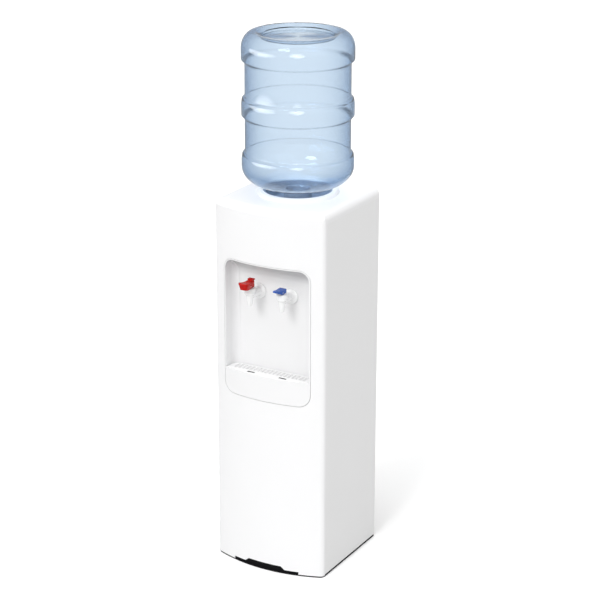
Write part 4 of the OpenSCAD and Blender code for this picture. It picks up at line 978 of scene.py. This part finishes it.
def cross_screw(x, z):
    """A rear screw's head with its cross recess."""
    face = REAR_FACE
    head = softened([(0, -0.4), (3.8, -0.4), (3.8, 1.0), (2.6, 2.1), (0, 2.4)], 0.5)
    screw = turned("rear_screw", head, (x, face, z), ALONG_Y, 32)
    for wide, tall in ((2.2, 0.5), (0.5, 2.2)):
        arm = block("cross", (x - wide, face + 1.2, z - tall), (x + wide, face + 4, z + tall))
        boolean(screw, arm, "DIFFERENCE")
    return screw


def rear_screws():
    """Screws down both edges of the back panel."""
    columns, heights = (-131, 131), (214, 360, 510, 660, 810, 894)
    first = cross_screw(columns[0], heights[0])
    screws = [first]
    for x, z in [(x, z) for x in columns for z in heights][1:]:
        only(first)
        bpy.ops.object.duplicate()
        screw = bpy.context.object
        edit(screw, "SELECT")
        bpy.ops.transform.translate(value=((x - columns[0]) * MM, 0, (z - heights[0]) * MM))
        screws.append(done(screw))
    settle(smooth(joined("rear_screws", screws)), "bright steel", "cabinet", "spring_steel")


def dial_marks():
    """Seven strokes round the thermostat's knob, each a little longer than the last."""
    first_angle, step, half_width, inner, outer = -135, 45, 0.5, 18.5, 21
    marks = []
    for i in range(7):
        mark = block(
            f"mark_{i}", (KNOB_X - half_width, REAR_FACE - 0.1, CONTROL_Z + inner),
            (KNOB_X + half_width, REAR_FACE + 0.15, CONTROL_Z + outer + 0.5 * i))
        edit(mark, "SELECT")
        bpy.ops.transform.rotate(
            value=math.radians(step * i + first_angle), orient_axis="Y",
            center_override=(KNOB_X * MM, REAR_FACE * MM, CONTROL_Z * MM))
        marks.append(done(mark))
    settle(joined("dial_marks", marks), "black plastic", "cabinet", "black_plastic")


def build_rear():
    """Condenser, lines and hoses made round, with the rear's screws, dial marks and pointer."""
    for finish, slot, nodes in (
        ("black paint", "black_paint", ("condenser",)),
        ("copper", "copper", ("refrigerant_lines", "evaporator")),
        ("silicone", "silicone", ("cold_hose", "hot_hose", "drain_hose"))):
        for node in nodes:
            settle(full_round(copy_of(node, f"{node}_round", 0.0)), finish, "cabinet", slot, node)
    rear_screws()
    dial_marks()
    half_width, half_depth = 0.6, 0.2
    pointer = block(
        "knob_pointer", (KNOB_X - half_width, KNOB_FACE - half_depth, CONTROL_Z + 4),
        (KNOB_X + half_width, KNOB_FACE + half_depth, CONTROL_Z + 13))
    settle(rounded(pointer, 0.1, 1), "print", "knob", "panel_white")


def dress_nodes():
    """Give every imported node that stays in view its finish."""
    for finish, nodes in NODE_FINISH.items():
        for node in nodes:
            paint(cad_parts[node], finish)


# Studio, with angles in degrees and lengths in metres unless a comment says more

SOFTBOX_MIDDLE = Vector((0, 0, 1.15))
SOFTBOX_AWAY = 3.2
GLOSSY_SKY = 0.2  # mirrors see the sky this far on from its own strength to full white
CAMERA_AZIMUTH, CAMERA_HEIGHT, CAMERA_ROLL = 29.584, 19.332, 0.1
CAMERA_AIM = (25.01, -16.77, 675.86)  # millimetres
CAMERA_AWAY = 4.73648


def toward(azimuth, height):
    """Direction from the cooler, by its angle round from the front and its angle above level."""
    a, e = math.radians(azimuth), math.radians(height)
    return Vector((math.sin(a) * math.cos(e), -math.cos(a) * math.cos(e), math.sin(e)))


def grey(level):
    """A grey of three equal numbers."""
    return level, level, level


def stage_floor():
    """Pale floor that is white to the camera, and darker in mirrors so that edges show."""
    bpy.ops.mesh.primitive_plane_add(size=60)
    floor = newest("studio_floor")
    material, tree, bsdf = shader("Studio floor")
    tree.nodes.remove(bsdf)
    paths = tree.nodes.new("ShaderNodeLightPath")
    tone = grey(0.70)
    for ray, level in (("Camera", 1.05), ("Glossy", 0.35), ("Transmission", 0.86)):
        tone = mixed(tree, paths.outputs[f"Is {ray} Ray"], tone, grey(level))
    diffuse = tree.nodes.new("ShaderNodeBsdfDiffuse")
    tree.links.new(tone, diffuse.inputs["Color"])
    tree.links.new(diffuse.outputs[0], tree.nodes["Material Output"].inputs["Surface"])
    floor.data.materials.append(material)


def stage_sky(studio):
    """Even sky that is white to the camera and through the bottle."""
    world = bpy.data.worlds.new("Studio sky")
    bpy.context.scene.world = world
    world.use_nodes = True
    tree = world.node_tree
    sky = tree.nodes["Background"]
    paths = tree.nodes.new("ShaderNodeLightPath").outputs
    seen = maths(tree, "MAXIMUM", paths["Is Camera Ray"], paths["Is Transmission Ray"])
    mirrored = maths(tree, "MULTIPLY", paths["Is Glossy Ray"], GLOSSY_SKY)
    strength = tree.nodes.new("ShaderNodeMapRange")
    set_inputs(strength, {"to_min": studio.sky, "to_max": 1.0})
    tree.links.new(maths(tree, "MAXIMUM", seen, mirrored), strength.inputs["Value"])
    sky.inputs["Color"].default_value = (1, 1, 1, 1)
    tree.links.new(strength.outputs["Result"], sky.inputs["Strength"])


def stage_lamps(studio):
    """Soft key light, side light and light from above, none of them mirrored."""
    for name, azimuth, height, strength, softness in (
        ("key", -3, 38, studio.key, 24),
        ("side", 70, 35, studio.fill, 60),
        ("top", 0, 86, studio.top, 60)):
        bpy.ops.object.light_add(type="SUN")
        lamp = newest(f"studio_{name}")
        lamp.rotation_euler = toward(azimuth, height).to_track_quat("Z", "Y").to_euler()
        lamp.data.energy = strength
        lamp.data.angle = math.radians(softness)
        lamp.visible_glossy = False


def glow_material(name, width, height, glow):
    """A softbox's light, brightest in its middle and fading to its edges."""
    fade_curve, boost = 0.6, 1.5
    material, tree, bsdf = shader(name)
    tree.nodes.remove(bsdf)
    across = vector_maths(tree, "MULTIPLY", object_place(tree), (2 / width, 2 / height, 0))
    fade = tree.nodes.new("ShaderNodeTexGradient")
    fade.gradient_type = "SPHERICAL"
    tree.links.new(across, fade.inputs["Vector"])
    soft = maths(tree, "POWER", fade.outputs["Fac"], fade_curve)
    soft = maths(tree, "MULTIPLY", soft, glow * boost)
    lit = tree.nodes.new("ShaderNodeEmission")
    tree.links.new(soft, lit.inputs["Strength"])
    tree.links.new(lit.outputs[0], tree.nodes["Material Output"].inputs["Surface"])
    return material


def stage_softboxes(studio):
    """Two glowing panels that show only as highlights."""
    for name, azimuth, height, wide, tall, glow in (
        ("front", 28, 9, 1.9, 1.6, studio.softbox),
        ("left", -50, 2, 4.8, 1.3, studio.softbox * 0.95)):
        bpy.ops.mesh.primitive_plane_add(size=1)
        softbox = newest(f"studio_softbox_{name}")
        bpy.ops.transform.resize(value=(wide, tall, 1))
        bpy.ops.object.transform_apply()
        back = toward(azimuth, height)
        softbox.rotation_euler = back.to_track_quat("Z", "Y").to_euler()
        softbox.location = SOFTBOX_MIDDLE + back * SOFTBOX_AWAY
        softbox.data.materials.append(glow_material(f"Softbox {name}", wide, tall, glow))
        for ray in ("camera", "diffuse", "transmission", "shadow", "volume_scatter"):
            setattr(softbox, f"visible_{ray}", False)


def stage_camera(studio):
    """Camera at the photograph's viewing angle."""
    azimuth, roll = math.radians(CAMERA_AZIMUTH), math.radians(CAMERA_ROLL)
    back = toward(CAMERA_AZIMUTH, CAMERA_HEIGHT)
    level = Vector((math.cos(azimuth), math.sin(azimuth), 0))
    above = back.cross(level)
    right = level * math.cos(roll) + above * math.sin(roll)
    up = above * math.cos(roll) - level * math.sin(roll)
    spot = Vector(CAMERA_AIM) * MM + back * CAMERA_AWAY
    bpy.ops.object.camera_add()
    camera = newest("studio_camera")
    camera.matrix_world = Matrix((
        (right.x, up.x, back.x, spot.x), (right.y, up.y, back.y, spot.y),
        (right.z, up.z, back.z, spot.z), (0, 0, 0, 1)))
    camera.data.lens = studio.focal
    camera.data.sensor_width = 36
    camera.data.clip_end = 200
    bpy.context.scene.camera = camera


def build_stage():
    """Pale floor, even sky, soft lights and the camera."""
    studio = bpy.context.scene.cooler_studio
    stage_floor()
    stage_sky(studio)
    stage_lamps(studio)
    stage_softboxes(studio)
    stage_camera(studio)
    bpy.context.scene.view_settings.view_transform = "Standard"


# Operators


class COOLER_OT_panels(bpy.types.Operator):
    """Make the front, top cover, side panels and base"""

    bl_idname = "cooler.panels"
    bl_label = "Panels"
    bl_options = {"REGISTER", "UNDO"}

    def execute(self, context):
        build_panels()
        return {"FINISHED"}


class COOLER_OT_alcove(bpy.types.Operator):
    """Make the alcove, the drip tray and its grille"""

    bl_idname = "cooler.alcove"
    bl_label = "Alcove and tray"
    bl_options = {"REGISTER", "UNDO"}

    def execute(self, context):
        build_alcove()
        return {"FINISHED"}


class COOLER_OT_bottle(bpy.types.Operator):
    """Make the clear bottle"""

    bl_idname = "cooler.bottle"
    bl_label = "Bottle"
    bl_options = {"REGISTER", "UNDO"}

    def execute(self, context):
        build_bottle()
        return {"FINISHED"}


class COOLER_OT_guard(bpy.types.Operator):
    """Make the water guard"""

    bl_idname = "cooler.guard"
    bl_label = "Water guard"
    bl_options = {"REGISTER", "UNDO"}

    def execute(self, context):
        build_guard()
        return {"FINISHED"}


class COOLER_OT_taps(bpy.types.Operator):
    """Make the hot and cold taps"""

    bl_idname = "cooler.taps"
    bl_label = "Taps"
    bl_options = {"REGISTER", "UNDO"}

    def execute(self, context):
        build_taps()
        return {"FINISHED"}


class COOLER_OT_rear(bpy.types.Operator):
    """Make the condenser, the lines, the hoses and the rear's small parts"""

    bl_idname = "cooler.rear"
    bl_label = "Rear and works"
    bl_options = {"REGISTER", "UNDO"}

    def execute(self, context):
        build_rear()
        return {"FINISHED"}


class COOLER_OT_finishes(bpy.types.Operator):
    """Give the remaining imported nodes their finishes"""

    bl_idname = "cooler.finishes"
    bl_label = "Finishes"
    bl_options = {"REGISTER", "UNDO"}

    def execute(self, context):
        dress_nodes()
        return {"FINISHED"}


class COOLER_OT_stage(bpy.types.Operator):
    """Make the floor, the lights and the camera"""

    bl_idname = "cooler.stage"
    bl_label = "Studio"
    bl_options = {"REGISTER", "UNDO"}

    def execute(self, context):
        build_stage()
        return {"FINISHED"}


class COOLER_PT_panel(bpy.types.Panel):
    """Sidebar panel of the water cooler"""

    bl_label = "Water Cooler"
    bl_idname = "COOLER_PT_panel"
    bl_space_type = "VIEW_3D"
    bl_region_type = "UI"
    bl_category = "Water Cooler"

    def draw(self, context):
        layout = self.layout
        for operator in OPERATORS:
            layout.operator(operator.bl_idname)
        scene = context.scene
        for settings in (scene.cooler_colours, scene.cooler_sizes, scene.cooler_studio):
            box = layout.box()
            for name in settings.bl_rna.properties.keys():
                if name not in ("rna_type", "name"):
                    box.prop(settings, name)


OPERATORS = (
    COOLER_OT_panels, COOLER_OT_alcove, COOLER_OT_bottle, COOLER_OT_guard,
    COOLER_OT_taps, COOLER_OT_rear, COOLER_OT_finishes, COOLER_OT_stage,
)
CLASSES = (CoolerColours, CoolerSizes, StudioSettings, *OPERATORS, COOLER_PT_panel)


def register():
    for cls in CLASSES:
        bpy.utils.register_class(cls)
    bpy.types.Scene.cooler_colours = PointerProperty(type=CoolerColours)
    bpy.types.Scene.cooler_sizes = PointerProperty(type=CoolerSizes)
    bpy.types.Scene.cooler_studio = PointerProperty(type=StudioSettings)


def unregister():
    del bpy.types.Scene.cooler_studio
    del bpy.types.Scene.cooler_sizes
    del bpy.types.Scene.cooler_colours
    for cls in reversed(CLASSES):
        bpy.utils.unregister_class(cls)


def main():
    """Build the whole cooler."""
    register()
    bpy.ops.cooler.panels()
    bpy.ops.cooler.alcove()
    bpy.ops.cooler.bottle()
    bpy.ops.cooler.guard()
    bpy.ops.cooler.taps()
    bpy.ops.cooler.rear()
    bpy.ops.cooler.finishes()
    bpy.ops.cooler.stage()


if __name__ == "__main__":
    main()
